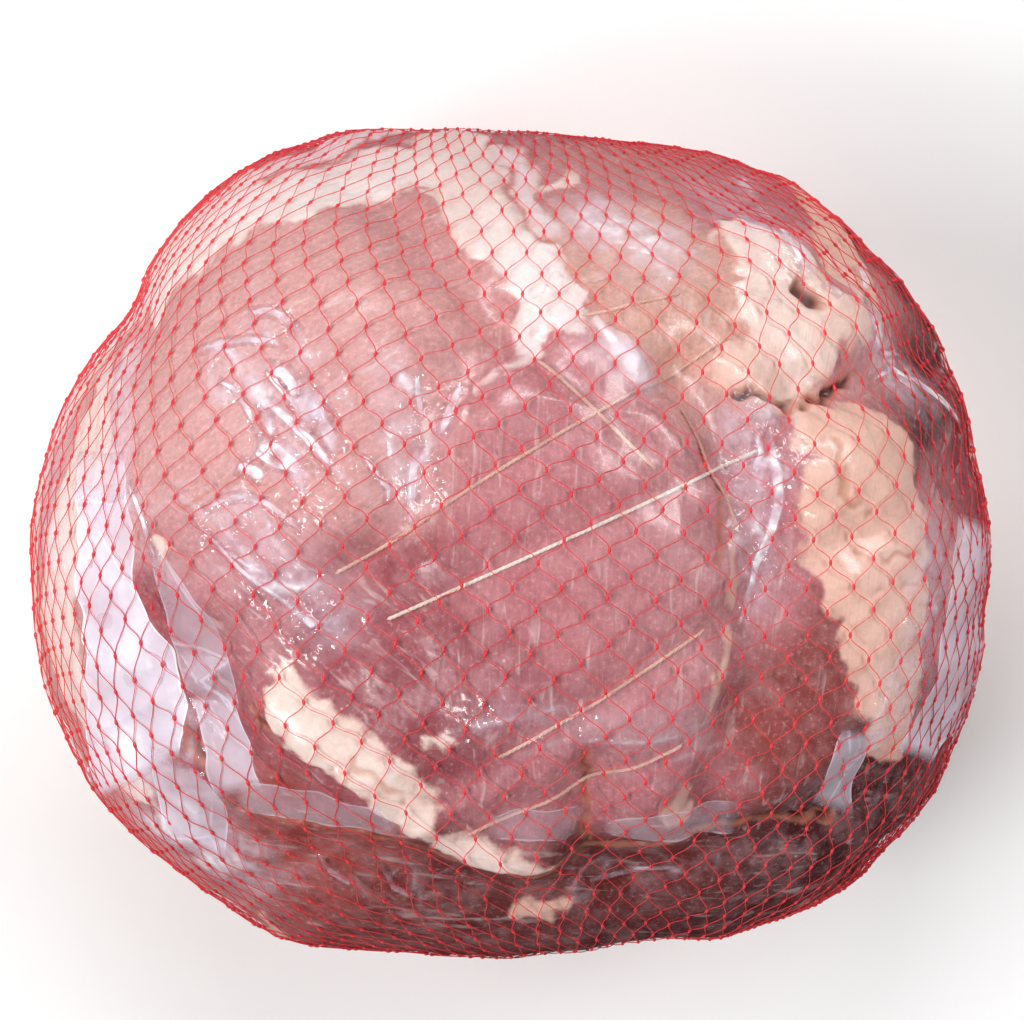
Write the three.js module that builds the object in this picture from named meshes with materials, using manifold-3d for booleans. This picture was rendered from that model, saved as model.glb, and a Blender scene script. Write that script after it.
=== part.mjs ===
// A raw boneless pork leg, rolled and tied with twine, vacuum packed in clear film and
// carried in a red diamond-mesh net. It lies on its broad side, cut face up.
//
// The pack is one sealed thing, so it is one closed solid: the outer form that the net
// follows. That form is a rounded cushion whose plan is the outline below, flattened where
// it rests, with the muscles as broad bulges, the gaps between them as creases, a shallow
// groove under each loop of twine, and a gathered tail at each end of the net.
//
// Millimetres, +Z up. The origin is under the middle of the pack, on the surface it rests on.

import * as THREE from "three";
import { mergeVertices } from "three/addons/utils/BufferGeometryUtils.js";
import Module from "manifold-3d";

// ---- Driving dimensions ----

const WIDEST_HEIGHT = 62; // the level of the widest outline above the table
const CROWN_HEIGHT = 85; // from that level up to the crown, before the bulges
const BELLY_DEPTH = 76; // from that level down to the belly, if the table didn't flatten it
const CROWN_SQUARENESS = 2.12; // exponent of the upper section; 2 is an ellipse
const BELLY_SQUARENESS = 2.25;
const CONTACT_BLEND = 5; // half the height over which the belly rolls into its flat foot

// The plan outline of the smooth form, which the side bulges then fill out: how far it
// reaches from the middle, by degrees round. 0 is to the right and 90 to the far side.
const OUTLINE = [
  [0, 123.6], [20, 122.0], [40, 120.8], [60, 111.8], [75, 104.8], [90, 104.0], [105, 107.7],
  [120, 117.6], [132, 120.1], [150, 117.2], [165, 119.0], [180, 122.2], [200, 123.9],
  [220, 122.3], [240, 114.6], [255, 106.3], [270, 103.9], [290, 105.9], [300, 116.1],
  [320, 127.1], [340, 124.7],
];

// Bulges (positive) and creases (negative). Each runs along a line on the form and fades
// over its width on either side. On the cut face a line is given by plan points.
const FACE_RELIEF = [
  { name: "central muscle", height: 5.0, width: 34, line: [[6, 22], [12, -8], [14, -44]] },
  { name: "upper left muscle", height: 4.0, width: 26, line: [[-72, 48], [-50, 58], [-34, 38]] },
  { name: "lower left muscle", height: 3.0, width: 20, line: [[-84, 6], [-64, -8], [-52, -24]] },
  { name: "upper fat lobe", height: 4.5, width: 15, line: [[70, 72], [84, 56]] },
  { name: "lower fat lobe", height: 5.5, width: 18, line: [[86, 26], [96, 4], [92, -34]] },
  { name: "fat roll", height: 3.6, width: 9, line: [[-58, -40], [-42, -56], [-22, -70], [6, -83]] },
  {
    name: "crease left of centre", height: -4.6, width: 9,
    line: [[-2, 54], [-16, 34], [-24, 12], [-42, -18]],
  },
  {
    name: "crease right of centre", height: -6.0, width: 9,
    line: [[44, 42], [60, 18], [65, -8], [62, -34], [50, -66]],
  },
  {
    name: "crease over the near muscle", height: -4.4, width: 9,
    line: [[-72, -74], [-30, -84], [14, -88], [62, -76], [88, -62]],
  },
  {
    name: "gap between the fat lobes", height: -5.6, width: 8,
    line: [[72, 38], [84, 39], [98, 48], [110, 50]],
  },
  {
    name: "gap beyond the upper lobe", height: -4.6, width: 9,
    line: [[54, 92], [66, 84], [92, 66], [104, 56]],
  },
  {
    name: "hollow under the loose film", height: -3.6, width: 12,
    line: [[-104, 54], [-106, 14], [-90, -18], [-74, -44]],
  },
  { name: "pinch under a twine knot", height: -3.6, width: 8, line: [[20, -54], [20, -84]] },
];

// On the sides a line is given by points [degrees round, height above the table].
const SIDE_RELIEF = [
  { name: "near muscle", height: 4.0, width: 18, line: [[238, 70], [262, 74], [292, 76]] },
  {
    name: "crease under the near muscle", height: -3.6, width: 9,
    line: [[226, 46], [250, 40], [276, 46], [300, 40]],
  },
  { name: "right flank", height: 3.4, width: 20, line: [[338, 52], [4, 40], [24, 48]] },
  {
    name: "crease down the right flank", height: -3.6, width: 9,
    line: [[318, 84], [324, 54], [320, 22]],
  },
  { name: "far flank", height: 3.6, width: 20, line: [[56, 60], [80, 74], [110, 76]] },
  {
    name: "crease along the far side", height: -3.8, width: 10,
    line: [[40, 36], [66, 42], [96, 36], [124, 44]],
  },
  { name: "left flank", height: 3.2, width: 22, line: [[160, 66], [186, 50], [208, 60]] },
  {
    name: "crease down the left flank", height: -3.4, width: 9,
    line: [[150, 96], [146, 60], [154, 24]],
  },
];

// Twine loops: each lies in an upright plane through a plan point, running at an angle.
const TWINE_GROOVE_DEPTH = 1.8;
const TWINE_GROOVE_WIDTH = 6;
const TWINE_LOOPS = [
  { through: [6, -2], degrees: 24 },
  { through: [4, 22], degrees: 31 },
  { through: [27, -34], degrees: 31 },
  { through: [18, -60], degrees: 22 },
  { through: [22, 33], degrees: -43 },
];

// The net is gathered at both ends, under the widest outline, where it pulls a dimple and
// ends in a drooping tail.
const TAILS = [
  { degrees: 94, height: 31 },
  { degrees: 282, height: 31 },
];
const DIMPLE_DEPTH = 7;
const DIMPLE_WIDTH = 17;
const TAIL_ROOT_RADIUS = 7; // inside the skin, where the threads come together
const TAIL_NECK_RADIUS = 2.4;
const TAIL_KNOT_RADIUS = 4;
const TASSEL_RADIUS = 5;
const TAIL_BURIED = 12; // the length of its root inside the skin
const TAIL_NECK = 1; // how far out along the tail its neck, knot, second neck and flare come
const TAIL_KNOT_START = 3.5;
const TAIL_KNOT_END = 6;
const TAIL_SECOND_NECK = 8.5;
const TAIL_FLARE = 13;
const TAIL_LENGTH = 22;
const TAIL_SIDES = 12;
const TAIL_DROOP_DEGREES = 76; // below the horizontal

const CELLS_PER_FACE = 28; // the skin's grid: six faces of this many cells a side
const WELD_REACH = 1e-3; // points closer than this become one

// ---- The form ----

const radians = THREE.MathUtils.degToRad;

/** The outline's reach at an angle, by a smooth cubic through its points. */
function reachAt(angle) {
  const degrees = (THREE.MathUtils.radToDeg(angle) + 360) % 360;
  const n = OUTLINE.length;
  let k = OUTLINE.findIndex(([a]) => a > degrees) - 1;
  if (k < 0) k = n - 1;
  const at = (i) => {
    const turns = Math.floor(i / n);
    const [a, r] = OUTLINE[i - turns * n];
    return [a + 360 * turns, r];
  };
  const [[a0, r0], [a1, r1], [a2, r2], [a3, r3]] = [at(k - 1), at(k), at(k + 1), at(k + 2)];
  const t = (degrees - a1) / (a2 - a1);
  const slope1 = ((r2 - r0) / (a2 - a0)) * (a2 - a1);
  const slope2 = ((r3 - r1) / (a3 - a1)) * (a2 - a1);
  return (
    (2 * t ** 3 - 3 * t ** 2 + 1) * r1 +
    (t ** 3 - 2 * t ** 2 + t) * slope1 +
    (3 * t ** 2 - 2 * t ** 3) * r2 +
    (t ** 3 - t ** 2) * slope2
  );
}

const MIDDLE = new THREE.Vector3(0, 0, WIDEST_HEIGHT);

/** The smooth form's surface along a unit direction from its middle. Each upright section is
 * a squared ellipse. */
function smoothPoint(direction) {
  const reach = reachAt(Math.atan2(direction.y, direction.x));
  const up = direction.z >= 0;
  const rise = up ? CROWN_HEIGHT : BELLY_DEPTH;
  const p = up ? CROWN_SQUARENESS : BELLY_SQUARENESS;
  const flat = Math.hypot(direction.x, direction.y) / reach;
  const distance = (flat ** p + (Math.abs(direction.z) / rise) ** p) ** (-1 / p);
  return direction.clone().multiplyScalar(distance).add(MIDDLE);
}

/** A plan point lifted onto the top of the smooth form. */
function onFace([x, y]) {
  const share = Math.min(Math.hypot(x, y) / reachAt(Math.atan2(y, x)), 1);
  const p = CROWN_SQUARENESS;
  return new THREE.Vector3(x, y, WIDEST_HEIGHT + CROWN_HEIGHT * (1 - share ** p) ** (1 / p));
}

/** The point of the smooth form's side at an angle round it and a height above the table. */
function onSide([degrees, height]) {
  const up = height >= WIDEST_HEIGHT;
  const share = Math.abs(height - WIDEST_HEIGHT) / (up ? CROWN_HEIGHT : BELLY_DEPTH);
  const p = up ? CROWN_SQUARENESS : BELLY_SQUARENESS;
  const angle = radians(degrees);
  const out = reachAt(angle) * (1 - share ** p) ** (1 / p);
  return new THREE.Vector3(out * Math.cos(angle), out * Math.sin(angle), height);
}

/** Distance from a point to a line of points. */
function distanceToLine(point, line) {
  const nearest = new THREE.Vector3();
  return Math.min(
    ...line.slice(1).map((end, i) =>
      new THREE.Line3(line[i], end).closestPointToPoint(point, true, nearest).distanceTo(point),
    ),
  );
}

const placedRelief = [
  ...FACE_RELIEF.map((r) => ({ ...r, line: r.line.map(onFace) })),
  ...SIDE_RELIEF.map((r) => ({ ...r, line: r.line.map(onSide) })),
  ...TAILS.map(({ degrees, height }) => {
    const root = onSide([degrees, height]);
    return { height: -DIMPLE_DEPTH, width: DIMPLE_WIDTH, line: [root, root] };
  }),
];

/** How far the skin stands out of the smooth form at a point. */
function reliefAt(point) {
  const swell = (distance, width) => Math.exp(-((distance / width) ** 2));
  const muscles = placedRelief.reduce(
    (sum, r) => sum + r.height * swell(distanceToLine(point, r.line), r.width),
    0,
  );
  const grooves = TWINE_LOOPS.map(({ through: [x, y], degrees }) => {
    const across = [-Math.sin(radians(degrees)), Math.cos(radians(degrees))];
    const distance = (point.x - x) * across[0] + (point.y - y) * across[1];
    return swell(distance, TWINE_GROOVE_WIDTH);
  });
  return muscles - TWINE_GROOVE_DEPTH * Math.max(...grooves);
}

/** The weight of the meat flattens the belly: heights near the table roll smoothly into 0. */
function pressed(height) {
  const above = height + CONTACT_BLEND;
  if (above <= 0) return 0;
  return above >= 2 * CONTACT_BLEND ? height : above ** 2 / (4 * CONTACT_BLEND);
}

/** The pack's skin along a unit direction from its middle. */
function skinPoint(direction) {
  const point = smoothPoint(direction);
  point.addScaledVector(direction, reliefAt(point));
  point.z = pressed(point.z);
  return point;
}

// ---- The skin as a closed surface: a cube's six gridded faces blown out onto the form ----

function skinGeometry() {
  const axes = [
    ["x", "y", "z"], ["y", "z", "x"], ["z", "x", "y"],
  ];
  const positions = [];
  const corner = (face, side, i, j) => {
    const spread = (k) => Math.tan((Math.PI / 4) * ((2 * k) / CELLS_PER_FACE - 1));
    const direction = new THREE.Vector3();
    const [out, first, second] = face;
    direction[out] = side;
    direction[first] = spread(i);
    direction[second] = spread(j) * side;
    return skinPoint(direction.normalize());
  };
  for (const face of axes) {
    for (const side of [1, -1]) {
      for (let i = 0; i < CELLS_PER_FACE; i++) {
        for (let j = 0; j < CELLS_PER_FACE; j++) {
          const [a, b, c, d] = [[i, j], [i + 1, j], [i + 1, j + 1], [i, j + 1]].map(([u, v]) =>
            corner(face, side, u, v),
          );
          positions.push(...[a, b, c, a, c, d].flatMap((p) => p.toArray()));
        }
      }
    }
  }
  const geometry = new THREE.BufferGeometry();
  geometry.setAttribute("position", new THREE.Float32BufferAttribute(positions, 3));
  return mergeVertices(geometry, WELD_REACH);
}

// ---- A net tail: the mesh drawn together into a knot, then flaring into a short tassel ----

function tailGeometry() {
  const profile = [
    [0, -TAIL_BURIED],
    [TAIL_ROOT_RADIUS, -TAIL_BURIED],
    [TAIL_ROOT_RADIUS * 0.8, -TAIL_BURIED / 2],
    [TAIL_NECK_RADIUS * 1.4, -TAIL_NECK],
    [TAIL_NECK_RADIUS, TAIL_NECK],
    [TAIL_KNOT_RADIUS, TAIL_KNOT_START],
    [TAIL_KNOT_RADIUS, TAIL_KNOT_END],
    [TAIL_NECK_RADIUS, TAIL_SECOND_NECK],
    [TASSEL_RADIUS * 0.7, TAIL_FLARE],
    [TASSEL_RADIUS, TAIL_LENGTH],
    [0, TAIL_LENGTH],
  ].map(([r, h]) => new THREE.Vector2(r, h));
  const geometry = new THREE.LatheGeometry(profile, TAIL_SIDES);
  geometry.deleteAttribute("normal");
  geometry.deleteAttribute("uv");
  return mergeVertices(geometry, WELD_REACH);
}

function tailPlaced({ degrees, height }) {
  const angle = radians(degrees);
  const root = skinPoint(onSide([degrees, height]).sub(MIDDLE).normalize());
  const droop = radians(TAIL_DROOP_DEGREES);
  const along = new THREE.Vector3(
    Math.cos(angle) * Math.cos(droop), Math.sin(angle) * Math.cos(droop), -Math.sin(droop),
  );
  const turn = new THREE.Quaternion().setFromUnitVectors(new THREE.Vector3(0, 1, 0), along);
  return tailGeometry().applyMatrix4(
    new THREE.Matrix4().compose(root, turn, new THREE.Vector3(1, 1, 1)),
  );
}

// ---- The tails are joined into the skin ----

const wasm = await Module();
wasm.setup();

function solidOf(geometry) {
  return new wasm.Manifold(
    new wasm.Mesh({
      numProp: 3,
      vertProperties: geometry.attributes.position.array,
      triVerts: new Uint32Array(geometry.index.array),
    }),
  );
}

function geometryOf(solid) {
  const mesh = solid.getMesh();
  const geometry = new THREE.BufferGeometry();
  geometry.setAttribute("position", new THREE.BufferAttribute(mesh.vertProperties, 3));
  geometry.setIndex(new THREE.BufferAttribute(mesh.triVerts, 1));
  return geometry;
}

const whole = TAILS.reduce(
  (solid, tail) => solid.add(solidOf(tailPlaced(tail))),
  solidOf(skinGeometry()),
);

const nettedLeg = new THREE.Mesh(
  geometryOf(whole),
  new THREE.MeshStandardMaterial({ color: 0xc98a8c, roughness: 0.3, metalness: 0 }),
);
nettedLeg.name = "netted_leg";

const packedPorkLeg = new THREE.Group();
packedPorkLeg.add(nettedLeg);

export default packedPorkLeg;
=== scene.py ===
import bpy
import numpy as np
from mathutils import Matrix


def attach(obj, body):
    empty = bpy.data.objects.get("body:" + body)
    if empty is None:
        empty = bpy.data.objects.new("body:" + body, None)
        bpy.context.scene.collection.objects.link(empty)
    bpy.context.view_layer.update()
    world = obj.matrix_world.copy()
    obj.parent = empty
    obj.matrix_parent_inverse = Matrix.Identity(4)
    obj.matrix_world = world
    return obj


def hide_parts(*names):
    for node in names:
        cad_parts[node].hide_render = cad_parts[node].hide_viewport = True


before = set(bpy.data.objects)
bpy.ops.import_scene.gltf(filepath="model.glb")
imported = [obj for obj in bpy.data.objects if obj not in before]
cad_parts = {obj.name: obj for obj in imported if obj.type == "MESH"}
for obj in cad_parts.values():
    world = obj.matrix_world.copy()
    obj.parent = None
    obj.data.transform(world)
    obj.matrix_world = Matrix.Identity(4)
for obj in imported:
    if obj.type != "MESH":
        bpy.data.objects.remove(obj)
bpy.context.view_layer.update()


# ---- The camera ----
# It stands straight above the pack, which lies with its cut face up, so that the picture's
# left and right are -X and +X and its top is +Y. Lengths in this file are in millimetres,
# and put_mesh turns them to metres.

MM = 0.001
WIDEST_HEIGHT = 62.0  # the level of the pack's widest outline above the table
CAMERA_RISE = 1500.0  # from that level up to the lens
PICTURE_WIDTH = 266.2  # what the picture takes in at that level
PICTURE_MIDDLE = np.array([0.3, 8.6])  # the plan point under the lens
SENSOR_WIDTH = 36.0

camera = bpy.data.objects.new("camera", bpy.data.cameras.new("camera"))
camera.data.sensor_width = SENSOR_WIDTH
camera.data.lens = SENSOR_WIDTH * CAMERA_RISE / PICTURE_WIDTH
camera.data.clip_end = 20.0
camera.location = (*(PICTURE_MIDDLE * MM), (WIDEST_HEIGHT + CAMERA_RISE) * MM)
bpy.context.scene.collection.objects.link(camera)
bpy.context.scene.camera = camera


# ---- The meat ----
# A whole pork leg without its bone, rolled up and pressed flat where it lies: pink to dark
# red muscles, cream fat between and over them, and creases where they meet. It is raw, wet
# and soft, and the bag shrunk round it holds it in one lump.

CROWN_HEIGHT = 85.0  # from the widest level up to the crown, before the bulges
BELLY_DEPTH = 76.0  # from that level down to the belly, if the table didn't flatten it
CROWN_SQUARENESS = 2.12  # exponent of the upper section; 2 is an ellipse
BELLY_SQUARENESS = 2.25
CONTACT_BLEND = 5.0  # half the height over which the belly rolls into its flat foot
MIDDLE = np.array([0.0, 0.0, WIDEST_HEIGHT])

# How far the smooth form reaches from its middle in plan, by degrees round.
OUTLINE = np.array([
    (0, 123.6), (20, 122.0), (40, 120.8), (60, 111.8), (75, 104.8), (90, 104.0), (105, 107.7),
    (120, 117.6), (132, 120.1), (150, 117.2), (165, 119.0), (180, 122.2), (200, 123.9),
    (220, 122.3), (240, 114.6), (255, 106.3), (270, 103.9), (290, 105.9), (300, 116.1),
    (320, 127.1), (340, 124.7),
])

# Bulges (positive) and creases (negative) of the pack: height, width, and the line each
# runs along. On the cut face a line has plan points.
FACE_RELIEF = {
    "central muscle": (5.0, 34, [(6, 22), (12, -8), (14, -44)]),
    "upper left muscle": (4.0, 26, [(-72, 48), (-50, 58), (-34, 38)]),
    "lower left muscle": (3.0, 20, [(-84, 6), (-64, -8), (-52, -24)]),
    "upper fat lobe": (4.5, 15, [(70, 72), (84, 56)]),
    "lower fat lobe": (5.5, 18, [(86, 26), (96, 4), (92, -34)]),
    "fat roll": (3.6, 9, [(-58, -40), (-42, -56), (-22, -70), (6, -83)]),
    "crease left of centre": (-4.6, 9, [(-2, 54), (-16, 34), (-24, 12), (-42, -18)]),
    "crease right of centre": (-6.0, 9, [(44, 42), (60, 18), (65, -8), (62, -34), (50, -66)]),
    "crease over the near muscle": (
        -4.4, 9, [(-72, -74), (-30, -84), (14, -88), (62, -76), (88, -62)]
    ),
    "gap between the fat lobes": (-5.6, 8, [(72, 38), (84, 39), (98, 48), (110, 50)]),
    "gap beyond the upper lobe": (-4.6, 9, [(54, 92), (66, 84), (92, 66), (104, 56)]),
    "hollow under the loose film": (-3.6, 12, [(-104, 54), (-106, 14), (-90, -18), (-74, -44)]),
    "pinch under a twine knot": (-3.6, 8, [(20, -54), (20, -84)]),
}

# On the sides a line has points by degrees round and height above the table.
SIDE_RELIEF = {
    "near muscle": (4.0, 18, [(238, 70), (262, 74), (292, 76)]),
    "crease under the near muscle": (-3.6, 9, [(226, 46), (250, 40), (276, 46), (300, 40)]),
    "right flank": (3.4, 20, [(338, 52), (4, 40), (24, 48)]),
    "crease down the right flank": (-3.6, 9, [(318, 84), (324, 54), (320, 22)]),
    "far flank": (3.6, 20, [(56, 60), (80, 74), (110, 76)]),
    "crease along the far side": (-3.8, 10, [(40, 36), (66, 42), (96, 36), (124, 44)]),
    "left flank": (3.2, 22, [(160, 66), (186, 50), (208, 60)]),
    "crease down the left flank": (-3.4, 9, [(150, 96), (146, 60), (154, 24)]),
}

# The net is gathered at two ends, where it pulls a dimple: degrees round and height.
GATHERS = [(94, 31), (282, 31)]
DIMPLE_DEPTH = 7.0
DIMPLE_WIDTH = 17.0

# Twine loops: each lies in an upright plane through a plan point, running at an angle.
TWINE_GROOVE_DEPTH = 1.8
TWINE_GROOVE_WIDTH = 6.0
TWINE_PLANES = [((6, -2), 24), ((4, 22), 31), ((27, -34), 31), ((18, -60), 22), ((22, 33), -43)]


def unit(vectors):
    """Each vector divided by its length."""
    return vectors / np.maximum(np.linalg.norm(vectors, axis=-1, keepdims=True), 1e-9)


def cubic(t, start, end, start_slope, end_slope):
    """A cubic from start to end as t goes from 0 to 1, with its slopes there."""
    return (
        (2 * t**3 - 3 * t**2 + 1) * start + (t**3 - 2 * t**2 + t) * start_slope
        + (3 * t**2 - 2 * t**3) * end + (t**3 - t**2) * end_slope
    )


def outline_reach(angle):
    """The plan outline at an angle: a cubic between neighbouring points, whose slope at each
    point is that from the point before to the point after."""
    degrees = np.degrees(angle) % 360
    count = len(OUTLINE)
    before = np.searchsorted(OUTLINE[:, 0], degrees, side="right") - 1
    (a0, r0), (a1, r1), (a2, r2), (a3, r3) = (
        (OUTLINE[k % count, 0] + 360 * (k // count), OUTLINE[k % count, 1])
        for k in (before - 1, before, before + 1, before + 2)
    )
    t = (degrees - a1) / (a2 - a1)
    slope1 = (r2 - r0) / (a2 - a0) * (a2 - a1)
    slope2 = (r3 - r1) / (a3 - a1) * (a2 - a1)
    return cubic(t, r1, r2, slope1, slope2)


def fullness(points):
    """Below 1 inside the smooth form and above 1 outside it: the share of the outline's reach
    and the share of the height, each to the section's power, added up."""
    x, y, z = np.moveaxis(points - MIDDLE, -1, 0)
    rise = np.where(z >= 0, CROWN_HEIGHT, BELLY_DEPTH)
    power = np.where(z >= 0, CROWN_SQUARENESS, BELLY_SQUARENESS)
    flat = np.hypot(x, y) / outline_reach(np.arctan2(y, x))
    return flat**power + (np.abs(z) / rise) ** power


def smooth_form(directions):
    """The smooth form along directions from its middle: the distance at which fullness is 1."""
    power = np.where(directions[..., 2] >= 0, CROWN_SQUARENESS, BELLY_SQUARENESS)
    distance = fullness(MIDDLE + directions) ** (-1 / power)
    return MIDDLE + directions * distance[..., None]


def on_face(plan):
    """Plan points lifted onto the top of the smooth form, by the section's power law."""
    plan = np.asarray(plan, float)
    share = np.hypot(*plan.T) / outline_reach(np.arctan2(plan[:, 1], plan[:, 0]))
    lift = CROWN_HEIGHT * (1 - np.minimum(share, 1) ** CROWN_SQUARENESS) ** (1 / CROWN_SQUARENESS)
    return np.column_stack([plan, WIDEST_HEIGHT + lift])


def seen_on_face(seen):
    """The same for points placed in the picture's plane. What stands above that plane
    is nearer to the lens and looks further out, so it is drawn in by its share of the rise."""
    seen = np.asarray(seen, float)
    plan = seen
    for _ in range(3):
        lift = on_face(plan)[:, 2:] - WIDEST_HEIGHT
        plan = PICTURE_MIDDLE + (seen - PICTURE_MIDDLE) * (1 - lift / CAMERA_RISE)
    return on_face(plan)


def on_side(places):
    """Points of the smooth form's side, by degrees round and height above the table."""
    degrees, height = np.asarray(places, float).T
    up = height >= WIDEST_HEIGHT
    power = np.where(up, CROWN_SQUARENESS, BELLY_SQUARENESS)
    share = np.abs(height - WIDEST_HEIGHT) / np.where(up, CROWN_HEIGHT, BELLY_DEPTH)
    angle = np.radians(degrees)
    out = outline_reach(angle) * (1 - share**power) ** (1 / power)
    return np.column_stack([out * np.cos(angle), out * np.sin(angle), height])


def line_distance(points, line, widths=None):
    """How far each point lies from a line of points: from its nearest straight stretch. With
    widths, the line's half-width there is taken off, so that it is below 0 within the line."""
    widths = np.zeros(len(line)) if widths is None else widths
    nearest = np.full(len(points), np.inf)
    for start, end, wide1, wide2 in zip(line[:-1], line[1:], widths[:-1], widths[1:]):
        along = end - start
        t = np.clip((points - start) @ along / max(along @ along, 1e-6), 0, 1)
        gap = np.linalg.norm(points - start - t[:, None] * along, axis=1)
        nearest = np.minimum(nearest, gap - wide1 - t * (wide2 - wide1))
    return nearest


def swell(distance, width):
    """A soft rise of height 1, falling off as the bell curve of distance over width."""
    return np.exp(-((distance / width) ** 2))


RELIEF = (
    [(height, width, on_face(line)) for height, width, line in FACE_RELIEF.values()]
    + [(height, width, on_side(line)) for height, width, line in SIDE_RELIEF.values()]
    + [(-DIMPLE_DEPTH, DIMPLE_WIDTH, on_side([place, place])) for place in GATHERS]
)


def relief(points, crease_share=1.0):
    """The bulges less the creases at points of the smooth form, and less the twine grooves. A
    sheet that is stretched over the creases sinks into them by their share only."""
    total = np.zeros(len(points))
    for height, width, line in RELIEF:
        share = crease_share if height < 0 else 1.0
        total += share * height * swell(line_distance(points, line), width)
    grooves = np.zeros(len(points))
    for (x, y), degrees in TWINE_PLANES:
        turn = np.radians(degrees)
        off = (points[:, 1] - y) * np.cos(turn) - (points[:, 0] - x) * np.sin(turn)
        grooves = np.maximum(grooves, swell(off, TWINE_GROOVE_WIDTH))
    return total - crease_share * TWINE_GROOVE_DEPTH * grooves


def pressed(heights, floor_gap):
    """Heights near the table roll smoothly, as a parabola, into the flat foot at floor_gap."""
    above = np.clip(heights - floor_gap + CONTACT_BLEND, 0, None)
    rolled = above**2 / (4 * CONTACT_BLEND)
    return floor_gap + np.where(above < 2 * CONTACT_BLEND, rolled, above - CONTACT_BLEND)


def skin(smooth, crease_share=1.0, out=0.0, floor_gap=0.0):
    """The pack's form at points of the smooth form: moved out from the middle by the relief
    and by out, then pressed onto the table."""
    height = relief(smooth, crease_share) + out
    points = smooth + unit(smooth - MIDDLE) * height[:, None]
    points[:, 2] = pressed(points[:, 2], floor_gap)
    return points


def ripples(points, wavelength, seed, waves=22):
    """A smooth random field of spread 1: plane waves of about one wavelength, in random
    directions and phases, added up."""
    draw = np.random.default_rng(seed)
    ways = unit(draw.normal(size=(waves, 3))) * (2 * np.pi / wavelength)
    ways = ways * draw.uniform(0.7, 1.4, (waves, 1))
    return np.cos(points @ ways.T + draw.uniform(0, 2 * np.pi, waves)).sum(1) * np.sqrt(2 / waves)


def linear(code):
    """An sRGB hex colour as linear light, with full alpha."""
    shares = np.array([int(code[i:i + 2], 16) for i in (1, 3, 5)]) / 255
    light = np.where(shares <= 0.04045, shares / 12.92, ((shares + 0.055) / 1.055) ** 2.4)
    return (*light, 1.0)


# Fat: its colour, and the line each piece of it runs along, with its half-width. These lines,
# and those of the gaps and muscles below, are placed in the picture's plane.
FAT_COLOURS = {
    "white": "#fff8f2", "cream": "#fbe9de", "warm": "#fdeadd", "peach": "#f4cab6",
    "dull": "#e4bdb0", "veiled": "#f3e2e8",
}
FACE_FAT = {
    "band over the upper left muscle": ("white", [
        (-94, 62, 6.0), (-87, 73, 11.0), (-78, 83, 14.0), (-66, 88, 12.5), (-52, 92, 11.0),
        (-40, 96, 11.5), (-27, 98, 10.0),
    ]),
    "rim beyond the band": ("white", [(-97, 65, 7.0), (-85, 82, 9.0), (-70, 94, 8.0)]),
    "far rim": ("veiled", [(-60, 99, 6.0), (-47, 102, 6.5), (-28, 104, 5.0)]),
    "far seam": ("cream", [(-15, 102, 11.0), (-13, 92, 9.5), (-7, 84, 8.5)]),
    "far seam's right": ("veiled", [(0, 100, 5.0), (4, 92, 4.0), (9, 84, 3.5)]),
    "far seam's near end": ("white", [(-3, 81, 7.8), (6, 71, 8.8), (9, 61, 8.3), (6, 51, 3.4)]),
    "seam's tail": ("veiled", [(17, 57, 2.6), (24, 55, 3.1), (30, 50, 3.6), (34, 44, 2.1)]),
    "silverskin": ("veiled", [
        (4, 49, 1.1), (-5, 42, 0.9), (-12, 39, 0.9), (-15, 36, 0.8), (-24, 24, 0.7),
        (-28, 12, 0.9), (-29, 2, 0.6),
    ]),
    "far patch": ("cream", [(9, 94, 1.8), (15, 95, 2.6)]),
    "upper lobe": ("warm", [(59, 81, 6.8), (68, 73, 11.7), (73, 61, 15.1), (73, 50, 12.5)]),
    "upper lobe's toe": ("peach", [(61, 47, 6.2), (69, 41, 5.2)]),
    "upper lobe's right": ("peach", [(80, 58, 9.1), (88, 58, 6.5)]),
    "upper lobe's rim": ("peach", [(72, 91, 6.0), (87, 79, 8.5), (96, 67, 5.5)]),
    "lower lobe": ("peach", [(81, 31, 9.0), (91, 19, 16.5), (92, 5, 18.0), (93, -8, 14.0)]),
    "lower lobe's near end": ("peach", [(95, -20, 11.5), (98, -36, 12.5), (99, -48, 9.5)]),
    "right rim": ("dull", [(118, 0, 5.0), (117, -15, 6.5)]),
    "roll": ("warm", [
        (-58, -37, 5.2), (-51, -46, 6.4), (-41, -54, 5.6), (-31, -62, 6.2), (-23, -71, 6.4),
    ]),
    "roll's toe": ("cream", [(-16, -78, 5.0), (-3, -81, 4.2), (10, -84, 2.4)]),
    "spot by the roll": ("cream", [(-22, -52, 1.3), (-16, -51, 1.8)]),
    "speck": ("cream", [(6, -40, 1.0), (6.5, -40.5, 1.0)]),
    "strip right of centre": ("dull", [
        (61, -1, 2.1), (61, -15, 2.6), (58, -28, 2.1), (53, -46, 1.8),
    ]),
    "strip's foot": ("dull", [(47, -66, 3.1), (45, -71, 5.2)]),
    "near patch": ("peach", [(2, -97, 2.1), (9, -97, 3.1), (15, -96, 2.1)]),
    "near rim": ("dull", [(-65, -96, 2.1), (-55, -101, 2.9), (-48, -103, 1.8)]),
    "left rim": ("cream", [
        (-108, 44, 6.0), (-112, 22, 9.0), (-117, 1, 12.0), (-119, -20, 12.0), (-114, -38, 11.0),
        (-107, -54, 10.5), (-99, -61, 7.5),
    ]),
    "knob": ("cream", [(-91, 1, 2.1), (-89, -2, 2.1)]),
}
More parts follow.
